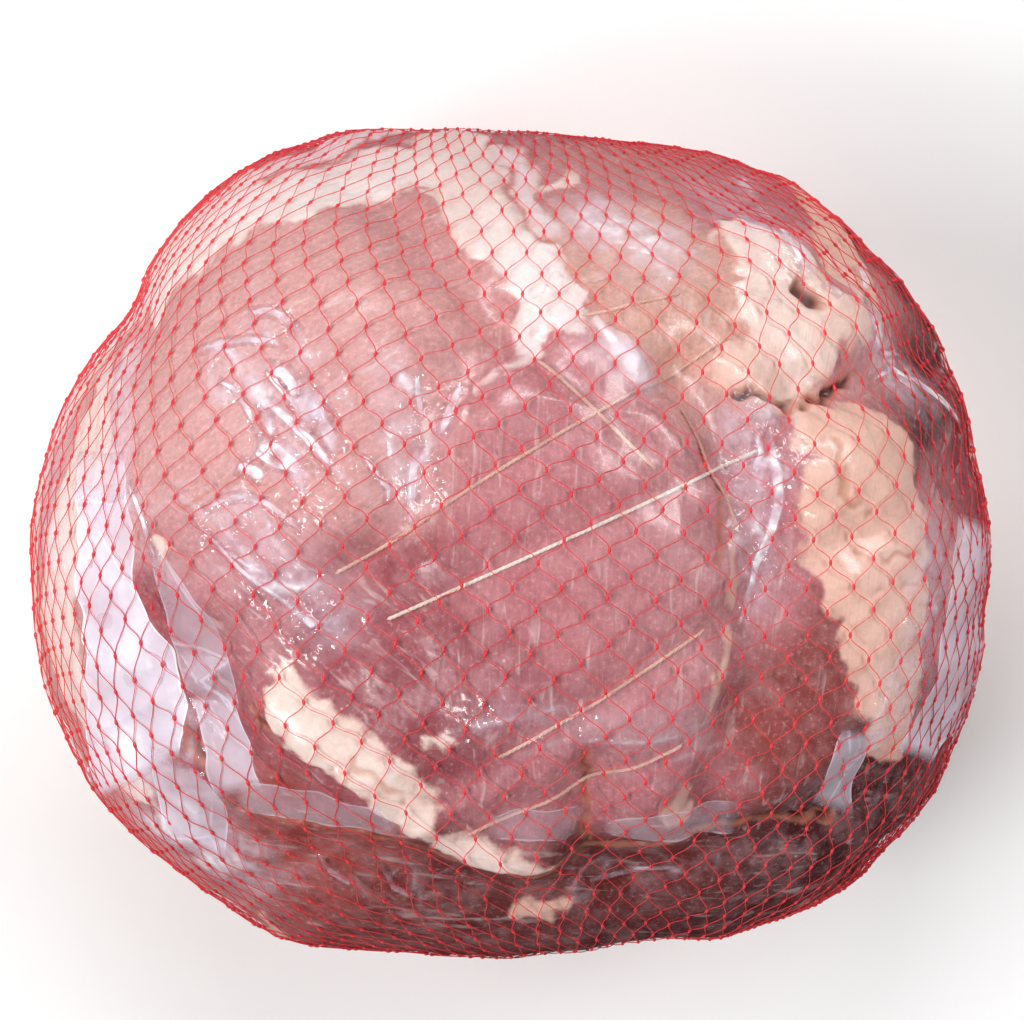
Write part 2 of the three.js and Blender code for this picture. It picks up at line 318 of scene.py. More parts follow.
SIDE_FAT = {
    "left cap": ("cream", [
        (140, 56, 12), (158, 50, 24), (180, 46, 28), (206, 40, 24), (222, 26, 14),
    ]),
    "right cap": ("peach", [(346, 22, 14), (4, 26, 16), (24, 24, 14)]),
    "far cap": ("cream", [(56, 26, 12), (84, 20, 14), (118, 26, 16)]),
    "near cap": ("dull", [(244, 16, 10), (266, 12, 12), (300, 18, 13)]),
}
UNDERSIDE_FAT_HEIGHT = 9.0  # below this the fat cap covers all of the underside
FAT_BLEND = 6.0  # mm over which two fats' colours blend


def warped(points, reach, wavelength, seed):
    """Points moved about smoothly at random, so that what is measured at them gets a natural,
    wandering outline."""
    shifts = [ripples(points, wavelength, seed + axis) for axis in range(3)]
    return points + reach * np.column_stack(shifts)


def laid(lines, lay):
    """Lines with half-widths, laid on the form: the colour's name, the points, the widths."""
    parts = [(colour, np.array(line, float)) for colour, line in lines.values()]
    return [(colour, lay(line[:, :2]), line[:, 2]) for colour, line in parts]


FAT_LINES = laid(FACE_FAT, seen_on_face) + laid(SIDE_FAT, on_side)


def fat_depth(smooth):
    """How deep points lie within fat, below 0 in lean, and the fat's colour there. The depth
    is the most of any fat line's half-width less the distance from the line, both measured at
    warped points. The colours are weighted by how near their lines are."""
    points = warped(warped(smooth, 1.2, 15, 11), 0.6, 6, 21)
    depth = UNDERSIDE_FAT_HEIGHT - points[:, 2]
    weight = np.exp(depth / FAT_BLEND)[:, None] + 1e-9
    colour = weight * np.array(linear(FAT_COLOURS["cream"]))
    for name, line, widths in FAT_LINES:
        here = -line_distance(points, line, widths)
        depth = np.maximum(depth, here)
        share = np.exp(here / FAT_BLEND)[:, None]
        weight, colour = weight + share, colour + share * np.array(linear(FAT_COLOURS[name]))
    return np.clip(depth, -12, 12), colour / weight


# Gaps between muscles, where the flesh sinks in: depth, half-width and line. Their dark
# slits, and the warm tint of the shallow folds, are painted shade.
GAPS = {
    "under the upper lobe": (4.0, 1.5, [(61, 41), (75, 37), (84, 39), (91, 45)]),
    "first hole": (3.0, 2.4, [(74, 66), (78, 62)]),
    "second hole": (2.5, 1.6, [(90, 63), (93, 62)]),
    "third hole": (3.0, 1.9, [(97, 65), (105, 58)]),
    "right of centre": (1.6, 1.8, [(53, 27), (58, 11), (57, 1), (55, -5)]),
    "groove": (1.9, 1.9, [(20, -54), (20, -67), (20, -88)]),
    "over the near muscle": (
        3.0, 1.6,
        [(-74, -70), (-55, -73), (-29, -80), (-8, -86), (13, -85), (28, -81), (49, -78), (67, -75),
         (86, -73)],
    ),
    "left pocket": (2.6, 2.2, [(-86, -51), (-82, -57)]),
    "second left pocket": (2.4, 2.0, [(-68, -43), (-63, -47)]),
    "fold in the lower lobe": (1.4, 1.7, [(82, 26), (84, 19), (84, 12), (90, 8)]),
    "second fold": (1.1, 1.2, [(84, -12), (92, -13), (102, -10)]),
    "third fold": (1.3, 1.2, [(88, -2), (95, -4), (103, -2)]),
    "fold in the roll": (1.3, 1.6, [(-40, -56), (-33, -61), (-27, -67)]),
    "far edge": (2.6, 1.7, [(6, 105), (34, 101)]),
    "left arc": (1.2, 1.3, [(-82, 9), (-77, 14), (-70, 17), (-64, 15)]),
    "upper left arc": (1.0, 1.2, [(-81, 46), (-69, 49), (-57, 50)]),
    "seam's left edge": (1.0, 1.0, [(-24, 104), (-23, 85)]),
}
GAP_LINES = [(depth, width, seen_on_face(line)) for depth, width, line in GAPS.values()]
FULL_DEPTH = 3.0  # a gap of this depth or more is drawn as deep as any


def gap_share(smooth):
    """How far points lie in a gap, from 0 to 1: the most of the gaps' soft rises, each in
    proportion to the gap's depth."""
    points = warped(smooth, 0.6, 7, 31)
    deepest = np.zeros(len(points))
    for depth, width, line in GAP_LINES:
        share = min(depth / FULL_DEPTH, 1)
        deepest = np.maximum(deepest, share * swell(line_distance(points, line), width))
    return deepest


FLESH_DEPTH = 0.9  # of the lean under the net's outer form
FAT_RISE = 0.4  # of fat over lean
GAP_DEPTH = 3.2
GRAIN_RISE = 0.06  # of the finest unevenness of the flesh
FLESH_CREASE_SHARE = 1.1  # of the net's creases; those in the flesh are deeper
FLESH_FLOOR_GAP = 1.2  # which leaves room for the film and the net under it


def flesh_height(smooth, fat):
    """How far the flesh rises over its mean level: fat stands proud of lean and is lumpy, and
    lean rolls gently."""
    share = np.clip((fat + 1.5) / 4.5, 0, 1)
    share = share * share * (3 - 2 * share)
    lumps = 0.24 * ripples(smooth, 22, 41) + 0.04 * ripples(smooth, 10, 42)
    rolls = 0.16 * ripples(smooth, 18, 43)
    return share * (FAT_RISE + lumps) + (1 - share) * rolls


SHELL_CELLS = 316
SHELL_EDGE = np.radians(66)  # from straight up, seen from the middle


def half_shells():
    """Unit directions and quads of two half shells that share their rim. Each is a square of
    cells, rounded to a disc by x = u root(1 - vv/2), y = v root(1 - uu/2), and bent over the
    top or under the bottom as far as the rim, so that the top gets small cells."""
    across = np.linspace(-1, 1, SHELL_CELLS + 1)
    u, v = np.meshgrid(across, across, indexing="ij")
    x, y = u * np.sqrt(1 - v**2 / 2), v * np.sqrt(1 - u**2 / 2)
    share, turn = np.hypot(x, y).ravel(), np.arctan2(y, x).ravel()
    index = np.arange(u.size).reshape(u.shape)
    quads = np.stack(
        [index[:-1, :-1], index[1:, :-1], index[1:, 1:], index[:-1, 1:]], -1
    ).reshape(-1, 4)
    shells = []
    for tilt, faces in (
        (share * SHELL_EDGE, quads), (np.pi - share * (np.pi - SHELL_EDGE), quads[:, ::-1])
    ):
        ways = [np.sin(tilt) * np.cos(turn), np.sin(tilt) * np.sin(turn), np.cos(tilt)]
        shells.append((np.column_stack(ways), faces.tolist()))
    return shells


def put_mesh(name, points, faces, material):
    """A smooth-shaded piece from points in millimetres and faces, placed by its mesh."""
    mesh = bpy.data.meshes.new(name)
    mesh.from_pydata((np.asarray(points) * MM).tolist(), [], faces)
    mesh.shade_smooth()
    mesh.materials.append(material)
    piece = bpy.data.objects.new(name, mesh)
    bpy.context.scene.collection.objects.link(piece)
    return piece


def paint(piece, name, values):
    """A value, or a linear colour, for each point of a piece, which its material reads."""
    colour = values.ndim == 2
    layer = piece.data.attributes.new(name, "FLOAT_COLOR" if colour else "FLOAT", "POINT")
    layer.data.foreach_set("color" if colour else "value", values.astype(np.float32).ravel())


def add(tree, kind, feeds=None, out=0, **settings):
    """Adds a node. settings are its properties, and feeds gives its sockets a value or the
    output that feeds them. Returns its output number or name out."""
    node = tree.nodes.new(kind)
    for name, value in settings.items():
        setattr(node, name, value)
    for name, value in (feeds or {}).items():
        if isinstance(value, bpy.types.NodeSocket):
            tree.links.new(value, node.inputs[name])
        else:
            node.inputs[name].default_value = value
    return node.outputs[out] if len(node.outputs) else node


def new_material(name):
    """An empty node material and its tree."""
    material = bpy.data.materials.new(name)
    material.use_nodes = True
    material.node_tree.nodes.clear()
    return material, material.node_tree


def ramp(tree, value, start, end, low=0.0, high=1.0, **settings):
    """A value mapped from the range start to end onto low to high, and held at its ends."""
    feeds = {"Value": value, "From Min": start, "From Max": end, "To Min": low, "To Max": high}
    return add(tree, "ShaderNodeMapRange", feeds, **settings)


def blend(tree, share, one, other):
    """The colour that lies a share of the way from one to the other."""
    return add(tree, "ShaderNodeMix", {0: share, 6: one, 7: other}, out=2, data_type="RGBA")


def place_in_mm(tree):
    """The place on the piece, in millimetres."""
    place = add(tree, "ShaderNodeTexCoord", out="Object")
    return add(tree, "ShaderNodeVectorMath", {0: place, "Scale": 1 / MM}, operation="SCALE")


def painted(tree, name, out="Fac"):
    """A value, or with out="Color" a colour, that paint gave the piece."""
    return add(tree, "ShaderNodeAttribute", out=out, attribute_name=name)


# Lean: each muscle's colour, how far it spreads, and a line along the muscle.
LEAN_COLOURS = {
    "pale pink": "#e3aea8", "pink": "#d69a96", "rose": "#cb8d90", "mauve": "#c57f84",
    "dusky red": "#9c4a52", "russet": "#974a45", "brown red": "#a23e33", "dark red": "#6c221b",
    "maroon": "#4a1719", "peach": "#e4b3a0",
}
FACE_LEAN = {
    "upper left muscle": ("pale pink", 20, [(-84, 52), (-60, 71), (-36, 60)]),
    "upper left muscle, near part": ("pale pink", 18, [(-88, 24), (-62, 28), (-42, 24)]),
    "upper left muscle, by the seam": ("pink", 13, [(-22, 80), (-18, 58)]),
    "upper left muscle, right end": ("pink", 11, [(-40, 44), (-37, 12)]),
    "lower left muscle": ("rose", 15, [(-76, -2), (-58, -14)]),
    "lower left muscle, near end": ("dusky red", 12, [(-52, -20), (-38, -24)]),
    "left hollow": ("dusky red", 12, [(-92, -24), (-86, -50)]),
    "central muscle, far part": ("mauve", 16, [(6, 34), (18, 12)]),
    "central muscle, middle": ("mauve", 18, [(10, -4), (16, -20)]),
    "central muscle, right part": ("rose", 16, [(44, 30), (42, 10), (40, -24)]),
    "central muscle, lower left": ("dusky red", 16, [(-24, -14), (-34, -34), (-8, -42)]),
    "central muscle, near part": ("mauve", 14, [(10, -58), (36, -58)]),
    "strip right of centre": ("mauve", 9, [(66, 22), (73, -4)]),
    "strip, near part": ("russet", 10, [(84, -28), (76, -52)]),
    "far muscle": ("pink", 15, [(24, 98), (52, 98)]),
    "skin over the far muscle": ("peach", 13, [(32, 74), (44, 58), (55, 46)]),
    "right flank": ("pink", 13, [(102, 48), (100, 56), (96, 66)]),
    "right flank, near the rim": ("maroon", 9, [(106, 31), (111, 40)]),
    "right flank, near part": ("rose", 9, [(103, 6), (110, -8)]),
    # the near muscle's dark reds are partly its own colour and partly painted shade, on the side
    # turned away from the lamps
    "near muscle, left part": ("brown red", 15, [(-72, -78), (-44, -86)]),
    "near muscle, middle": ("dark red", 15, [(-16, -92), (48, -86)]),
    "near muscle, right part": ("maroon", 14, [(74, -84), (94, -62)]),
    "near muscle, underside": ("maroon", 10, [(20, -102), (66, -96)]),
}
SIDE_LEAN = {
    "left side": ("pale pink", 26, [(196, 60), (150, 66)]),
    "far left side": ("rose", 24, [(125, 58), (100, 60)]),
    "far right side": ("mauve", 24, [(90, 56), (60, 60)]),
    "right shoulder": ("maroon", 13, [(40, 62), (24, 62), (14, 60)]),
    "right side": ("dusky red", 22, [(12, 50), (346, 50)]),
    # the near sides' dark reds are partly their own colour and partly painted shade, on the side
    # turned away from the lamps
    "near right side": ("maroon", 24, [(324, 50), (290, 50)]),
    "near side": ("dark red", 24, [(272, 50), (248, 50)]),
    "near left side": ("pink", 24, [(228, 50), (210, 50)]),
}
LEAN_BASE_SHARE = 0.02  # of the mauve, which shows where no muscle's colour reaches


def tone(points, lines):
    """The blend of the muscles' colours, each weighted by its bell curve off its line."""
    total = np.full((len(points), 1), LEAN_BASE_SHARE)
    colour = total * np.array(linear(LEAN_COLOURS["mauve"]))
    for name, spread, line in lines:
        weight = swell(line_distance(points, line), spread)[:, None]
        total = total + weight
        colour = colour + weight * np.array(linear(LEAN_COLOURS[name]))
    return colour / total


# Raw pork: lean that is finely grained and wet, with cream fat that is smoother and lighter.
# The border between them wanders, and the lean has pale threads and flecks of fat in it.
FIBRE_WIDTH = 0.9  # across a bundle of muscle fibres
FIBRE_LENGTH = 14.0
GLOSS_LEAN = 0.36
GLOSS_FAT = 0.42


def raw_pork():
    material, tree = new_material("raw_pork")
    mm = place_in_mm(tree)
    fat = painted(tree, "fat")
    gap = painted(tree, "gap")
    grain = painted(tree, "grain")
    lean_colour = painted(tree, "lean_colour", out="Color")
    fat_colour = painted(tree, "fat_colour", out="Color")

    # the fibres run along each muscle
    turned = add(tree, "ShaderNodeVectorRotate", {"Vector": mm, "Angle": grain},
                 rotation_type="Z_AXIS")
    run = add(tree, "ShaderNodeMapping",
              {"Vector": turned, "Scale": (1 / FIBRE_LENGTH, 1 / FIBRE_WIDTH, 1 / 3.0)})
    fibres = add(tree, "ShaderNodeTexNoise", {"Vector": run, "Scale": 1.0, "Detail": 2.0})
    mottle = add(tree, "ShaderNodeTexNoise", {"Vector": mm, "Scale": 0.12, "Detail": 4.0,
                                              "Roughness": 0.65})
    fine = add(tree, "ShaderNodeTexNoise", {"Vector": mm, "Scale": 0.8, "Detail": 2.0,
                                            "Roughness": 0.7})

    # lean: darker and lighter with its fibres, paler in soft patches
    both = add(tree, "ShaderNodeMath", {0: fibres, 1: 0.5, 2: fine}, operation="MULTIPLY_ADD")
    tone_swing = ramp(tree, both, 0.45, 1.05, 0.76, 1.14)
    lean = add(tree, "ShaderNodeVectorMath", {0: lean_colour, "Scale": tone_swing},
               operation="SCALE")
    pale = ramp(tree, mottle, 0.44, 0.72, 0.0, 0.3)
    lean = blend(tree, pale, lean, linear("#ddb4b4"))

    # painted highlight: a fine pale speckle on the lean, partly for wet glints under the film and
    # partly for the film clinging to it
    wet = ramp(tree, fine, 0.58, 0.74, 0.0, 0.24)
    lean = blend(tree, wet, lean, linear("#f0d6da"))

    # marbling: soft pale streaks along the muscle, and a few flecks of fat
    long_way = add(tree, "ShaderNodeMapping", {"Vector": turned, "Scale": (0.07, 0.42, 0.2)})
    veins = add(tree, "ShaderNodeTexNoise", {"Vector": long_way, "Scale": 1.0, "Detail": 2.0,
                                             "Distortion": 0.7})
    streak = ramp(tree, veins, 0.6, 0.76, 0.0, 0.5)
    flecks = add(tree, "ShaderNodeTexVoronoi", {"Vector": mm, "Scale": 0.22})
    fleck = ramp(tree, flecks, 0.05, 0.1, 0.6, 0.0)
    often = ramp(tree, mottle, 0.5, 0.6)
    fleck = add(tree, "ShaderNodeMath", {0: fleck, 1: often}, operation="MULTIPLY")
    streak = add(tree, "ShaderNodeMath", {0: streak, 1: fleck}, operation="MAXIMUM")
    lean = blend(tree, streak, lean, linear("#ecd6d2"))

    # fat: warmer and pinker in places, with a faint net of furrows
    blush = ramp(tree, mottle, 0.5, 0.75, 0.0, 0.36)
    cream = blend(tree, blush, fat_colour, linear("#eab9a4"))
    speckled = ramp(tree, fine, 0.3, 0.7, 0.93, 1.05)
    cream = add(tree, "ShaderNodeVectorMath", {0: cream, "Scale": speckled}, operation="SCALE")

    # the border: the fat's depth, roughened by two noises, is cut at 0
    ragged = add(tree, "ShaderNodeMath", {0: mottle, 1: 0.5}, operation="SUBTRACT")
    ragged = add(tree, "ShaderNodeMath", {0: ragged, 1: 2.2, 2: fat}, operation="MULTIPLY_ADD")
    frayed = add(tree, "ShaderNodeMath", {0: fine, 1: 0.5}, operation="SUBTRACT")
    ragged = add(tree, "ShaderNodeMath", {0: frayed, 1: 1.0, 2: ragged},
                 operation="MULTIPLY_ADD")
    is_fat = ramp(tree, ragged, -1.2, 1.0, interpolation_type="SMOOTHSTEP")
    # thin fat at the border lets the lean's colour through
    thick = ramp(tree, ragged, -0.2, 2.4, 0.45, 0.0)
    cream = blend(tree, thick, cream, linear("#e8b8a6"))
    colour = blend(tree, is_fat, lean, cream)
    # painted shade: folds are tinted warm orange brown where shallow, and gaps are painted
    # dark where deep, for the shade that falls in them
    painted_fold_shade = ramp(tree, gap, 0.12, 0.5, 0.0, 0.6, interpolation_type="SMOOTHSTEP")
    colour = blend(tree, painted_fold_shade, colour, linear("#c8805f"))
    painted_gap_shade = ramp(tree, gap, 0.45, 0.95, 0.0, 0.9, interpolation_type="SMOOTHSTEP")
    colour = blend(tree, painted_gap_shade, colour, linear("#55201f"))

    gloss = ramp(tree, is_fat, 0.0, 1.0, GLOSS_LEAN, GLOSS_FAT)
    dents = add(tree, "ShaderNodeBump", {"Height": fibres, "Strength": 0.5,
                                         "Distance": 0.3 * MM})
    shader = add(tree, "ShaderNodeBsdfPrincipled", {
        "Base Color": colour, "Roughness": gloss, "IOR": 1.4, "Normal": dents,
    })
    add(tree, "ShaderNodeOutputMaterial", {"Surface": shader})
    return material


LEAN_LINES = [
    (name, spread, lay(line))
    for lines, lay in ((FACE_LEAN, seen_on_face), (SIDE_LEAN, on_side))
    for name, spread, line in lines.values()
]

# Which way the fibres run, in degrees round the plan, and the middle of each stretch of meat.
FIBRE_RUNS = [
    (28, [(-84, 60), (-40, 70)]), (34, [(-80, 30), (-44, 30)]), (-38, [(-80, 0), (-46, -22)]),
    (88, [(10, 20), (14, -50)]), (86, [(40, 20), (38, -40)]), (82, [(68, 20), (78, -56)]),
    (24, [(20, 100), (56, 94)]), (60, [(104, 56), (112, 0)]), (-4, [(-70, -86), (90, -84)]),
]


def fibre_turn(points):
    """How far the fibres at points are turned from the X axis: as those of the nearest
    stretch of meat."""
    away = [line_distance(points, seen_on_face(line)) for _, line in FIBRE_RUNS]
    return -np.radians([degrees for degrees, _ in FIBRE_RUNS])[np.argmin(away, axis=0)]


RAW_PORK = raw_pork()
flesh = {}
for side, (directions, quads) in zip(("face", "back"), half_shells()):
    smooth = smooth_form(directions)
    fat, fat_colour = fat_depth(smooth)
    gap, height = gap_share(smooth), flesh_height(smooth, fat)
    flesh[side] = (smooth, quads, height, gap)
    grain = GRAIN_RISE * ripples(smooth, 3.6, 44, waves=30)
    out = height - FLESH_DEPTH - GAP_DEPTH * gap**2 + grain
    points = skin(smooth, FLESH_CREASE_SHARE, out, FLESH_FLOOR_GAP)
    piece = put_mesh("pork_leg_" + side, points, quads, RAW_PORK)
    paint(piece, "fat", fat)
    paint(piece, "gap", gap)
    paint(piece, "grain", fibre_turn(warped(smooth, 1.5, 16, 55)))
    paint(piece, "lean_colour", tone(warped(smooth, 3.0, 22, 51), LEAN_LINES))
    paint(piece, "fat_colour", fat_colour)
    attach(piece, "root")
    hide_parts("netted_leg")


# ---- The twine ----
# Butcher's twine of three cotton strands, tied round the roll before it was packed. It is
# tight, so it sinks into the meat, and all but one loop are soaked pink.

STRAND_RADIUS = 0.27
STRAND_LAY = 0.27  # from the twine's middle to a strand's
STRAND_PITCH = 4.5  # along the twine for one full turn
TWINE_STEP = 0.9
TWINE_SINK = -0.25  # of the twine's middle under the flesh where it shows
TWINE_BURIED = 4.6  # under the flesh where it has cut in
TWINE_DIVE = 6.0  # of its length over which it sinks in
TWINE_FLOOR_GAP = 2.0

ROUND_STEPS = 721  # at which a line once round the pack is measured
BEYOND_THE_FORM = 400.0  # from any point inside it
HALVINGS = 34

# The plane of each loop, as the grooves above, and the stretch of plan that it shows on.
LOOPS = {
    "dry loop": ((6, -2), 24.4, -46, 70),
    "loop beyond it": ((4, 22), 31.0, -62, 66),
    "crossing loop": ((19, 34), -43.0, -22, 28),
    "near loop": ((27, -34), 31.0, -40, 30),
    "nearest loop": ((18, -60), 22.0, -36, 32),
    "steep loop": ((53, 19), -63.0, -24, 22),
    "far loop": ((32, 60), 15.0, -20, 16),
}


def ray_to_form(start, directions):
    """Where rays from a point inside meet the smooth form, by halving the range in which the
    fullness passes 1."""
    low = np.zeros(directions.shape[:-1])
    high = np.full(directions.shape[:-1], BEYOND_THE_FORM)
    for _ in range(HALVINGS):
        half = (low + high) / 2
        inside = fullness(start + directions * half[..., None]) < 1
        low, high = np.where(inside, half, low), np.where(inside, high, half)
    return start + directions * low[..., None]


def tubes(paths, outward, radius, sides, closed=False):
    """Points and faces of round threads. paths is threads by steps by 3. Each step gets a ring
    square to the path, with one side towards outward, neighbouring rings are joined by quads,
    and an open thread is shut by its end rings."""
    tangent = (
        np.roll(paths, -1, 1) - np.roll(paths, 1, 1) if closed else np.gradient(paths, axis=1)
    )
    tangent = unit(tangent)
    across = unit(np.cross(tangent, outward))
    up = np.cross(across, tangent)
    turn = np.linspace(0, 2 * np.pi, sides, endpoint=False)[:, None]
    ring = np.cos(turn) * across[:, :, None] + np.sin(turn) * up[:, :, None]
    reach = np.broadcast_to(radius, paths.shape[:2])[:, :, None, None]
    points = (paths[:, :, None] + reach * ring).reshape(-1, 3)
    index = np.arange(len(points)).reshape(*paths.shape[:2], sides)
    here, ahead = (index, np.roll(index, -1, 1)) if closed else (index[:, :-1], index[:, 1:])
    quads = np.stack(
        [here, ahead, np.roll(ahead, -1, 2), np.roll(here, -1, 2)], -1
    ).reshape(-1, 4)
    faces = quads.tolist()
    if not closed:
        faces += index[:, 0].tolist() + index[:, -1, ::-1].tolist()
    return points, faces


def joined(parts):
    """Several lots of points and faces as one."""
    points, faces, count = [], [], 0
    for some_points, some_faces in parts:
        points.append(some_points)
        faces += [[corner + count for corner in face] for face in some_faces]
        count += len(some_points)
    return np.concatenate(points), faces


def loop_path(through, degrees, start, end):
    """A loop's line: where rays in its upright plane, evenly turned, meet the smooth form,
    spaced evenly again, then put on the flesh. Between start and end, measured along the plane
    in plan, it lies proud of the flesh by its own radius, and elsewhere it is buried."""
    along = np.array([np.cos(np.radians(degrees)), np.sin(np.radians(degrees)), 0])
    heart = np.array([*through, WIDEST_HEIGHT])
    heart = heart + along * ((MIDDLE - heart) @ along)
    turn = np.linspace(0, 2 * np.pi, ROUND_STEPS)[:, None]
    round_it = ray_to_form(heart, np.cos(turn) * along + np.sin(turn) * np.array([0, 0, 1.0]))
    run = np.concatenate([[0], np.linalg.norm(np.diff(round_it, axis=0), axis=1).cumsum()])
    even = np.linspace(0, run[-1], int(run[-1] / TWINE_STEP), endpoint=False)
    smooth = np.column_stack([np.interp(even, run, round_it[:, axis]) for axis in range(3)])
    plan = (smooth - np.array([*through, 0])) @ along
    shown = np.clip(np.minimum(plan - start, end - plan) / TWINE_DIVE, 0, 1)
    shown = shown * (smooth[:, 2] > WIDEST_HEIGHT)
    level = flesh_height(smooth, fat_depth(smooth)[0]) - FLESH_DEPTH
    sunk = TWINE_BURIED + (TWINE_SINK - TWINE_BURIED) * shown
    middle = skin(smooth, FLESH_CREASE_SHARE, level - sunk, TWINE_FLOOR_GAP)
    return middle, unit(middle - MIDDLE), run[-1]


def twisted(middle, outward, length):
    """Three strands wound round a closed line: each circles it once in about a pitch, a third
    of a turn behind the last."""
    turns = round(length / STRAND_PITCH)
    tangent = unit(np.roll(middle, -1, 0) - np.roll(middle, 1, 0))
    across = unit(np.cross(tangent, outward))
    up = np.cross(across, tangent)
    phase = np.linspace(0, 2 * np.pi * turns, len(middle), endpoint=False)[:, None]
    strands = [
        middle + STRAND_LAY * (np.cos(phase + lag) * across + np.sin(phase + lag) * up)
        for lag in (0, 2 * np.pi / 3, 4 * np.pi / 3)
    ]
    return tubes(np.array(strands), outward[None], STRAND_RADIUS, 5, closed=True)


# Cotton twine: matt, hairy and off-white, and a brownish pink where meat juice soaks it.
def cotton(name, dry, wet):
    material, tree = new_material(name)
    mm = place_in_mm(tree)
    damp = add(tree, "ShaderNodeTexNoise", {"Vector": mm, "Scale": 0.09, "Detail": 3.0})
    damp = ramp(tree, damp, 0.4, 0.65)
    lint = add(tree, "ShaderNodeTexNoise", {"Vector": mm, "Scale": 4.0, "Detail": 3.0})
    colour = blend(tree, damp, linear(dry), linear(wet))
    hairs = add(tree, "ShaderNodeBump", {"Height": lint, "Strength": 0.5, "Distance": 0.15 * MM})
    shader = add(tree, "ShaderNodeBsdfPrincipled", {
        "Base Color": colour, "Roughness": 0.75, "Normal": hairs, "IOR": 1.47,
        "Sheen Weight": 0.3,
    })
    add(tree, "ShaderNodeOutputMaterial", {"Surface": shader})
    return material


twine_lots = {name: twisted(*loop_path(*loop)) for name, loop in LOOPS.items()}
dry_twine = put_mesh("twine_dry", *twine_lots.pop("dry loop"),
                     cotton("cotton_twine", "#faf1e6", "#f3e0cc"))
wet_twine = put_mesh("twine_soaked", *joined(twine_lots.values()),
                     cotton("soaked_cotton_twine", "#eec6b4", "#d8a594"))
for piece in (dry_twine, wet_twine):
    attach(piece, "root")
    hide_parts("netted_leg")


# ---- The film ----
# A clear vacuum bag of thin polyethylene, shrunk tight on the meat. It bridges the gaps and
# stands in small sharp wrinkles where it had too much room.

FILM_RISE = 0.45  # of the film over the flesh
FILM_FLOOR_GAP = 0.8  # which leaves room for the net under it
GAP_BRIDGED = 0.75  # of a gap's depth that the film spans
FILM_CREASE_SHARE = 0.62  # of a crease's depth that the film follows
RIDGE_HEIGHT = 0.55

# Single wrinkles, placed in the picture's plane: how white its crest is painted, as a
# painted highlight for its glint, its half-width and its line.
WRINKLES = {
    "upper left, far arc": (0.7, 1.0, [(-66, 57.5), (-60, 58), (-56, 56), (-53, 52.5)]),
    "upper left, long arc": (0.6, 0.8, [(-79, 48), (-73, 50), (-66, 51), (-59, 50.5), (-57, 48)]),
    "upper left, hook": (1.0, 1.5, [(-61, 43.5), (-57.5, 43), (-55, 40), (-55, 36.5)]),
    "upper left, long stroke": (1.0, 1.3, [
        (-63, 36), (-59, 33.5), (-56, 31), (-51, 26), (-45, 19),
    ]),
    "upper left, far edge of the hook": (0.8, 0.7, [(-62, 43.5), (-57, 37.5), (-54.5, 35)]),
    "upper left, spur": (0.9, 1.0, [(-66, 23.5), (-60, 20), (-55, 19)]),
    "upper left, sheen by the hook": (0.45, 2.2, [(-55, 42), (-50, 36), (-46.5, 29)]),
    "upper left, left stroke": (0.8, 0.7, [(-74, 41), (-70, 39), (-67, 34.5), (-64, 27)]),
    "upper left, near stroke": (1.0, 1.8, [(-65.5, 24.5), (-60, 24), (-55, 19.5), (-50.5, 16)]),
    "upper left, short stroke": (0.9, 1.1, [(-63, 36.5), (-62, 32), (-61, 27)]),
    "upper left, broad sheen": (0.5, 2.0, [(-54.5, 37.5), (-49, 32.5), (-46, 28), (-44, 22)]),
    "over the left arc": (0.9, 1.5, [(-70, 20), (-66, 18.5), (-63, 16.5)]),
    "left of centre": (0.9, 0.8, [(-23.4, 42), (-23.1, 37), (-22.4, 31)]),
    "left of centre, right branch": (0.6, 1.1, [(-12.5, 41), (-15, 35), (-17.8, 27)]),
    "left of centre, tail": (0.6, 1.2, [(-23.9, 25), (-25.6, 15), (-26.6, 4)]),
    "left of centre, crinkle": (0.6, 0.7, [(-37, 22.5), (-34, 17.5), (-31.5, 14), (-32, 10)]),
    "lower left, far arc": (0.5, 0.9, [(-78, 8), (-73, 11), (-68, 12), (-62, 10), (-53, 3)]),
    "lower left, long fold": (0.6, 0.6, [
        (-80, 6), (-73, -2), (-69, -6), (-62, -12), (-49, -22.5),
    ]),
    "lower left, second fold": (0.5, 0.6, [(-73, -1.5), (-64, -7), (-58, -11), (-51, -19)]),
    "lower left, knot of folds": (0.9, 1.4, [(-53, -18.5), (-50, -21.5)]),
    "far right": (0.8, 0.8, [(67, 82), (70, 75), (74, 69)]),
    "far right, short": (0.8, 0.7, [(79, 66), (83, 62)]),
    "right, tall": (1.0, 1.2, [
        (68, 31), (70, 19), (71, 11), (69.5, 1), (66, -9), (63, -18), (60, -24),
    ]),
    "right, hook": (0.7, 0.8, [(65, 30), (67, 24), (65, 19)]),
    "right flank, short": (0.9, 0.8, [(92, 74), (95, 67)]),
    "right flank, long": (0.9, 0.9, [(94, 42), (101, 46.5), (108, 43.5), (114, 36), (118, 30)]),
    "right flank, slit": (0.7, 0.7, [(92, 54), (98, 50), (106, 51)]),
    "near muscle, strokes": (0.4, 0.6, [(-52, -84), (-48, -88), (-42, -91)]),
    "near muscle, second": (0.35, 0.6, [(-36, -86), (-31, -91), (-25, -93)]),
    "near muscle, third": (0.35, 0.6, [(20, -91), (34, -87), (45, -86)]),
    "far left": (0.7, 0.8, [(-99, 16), (-94, 6), (-91, -4)]),
}

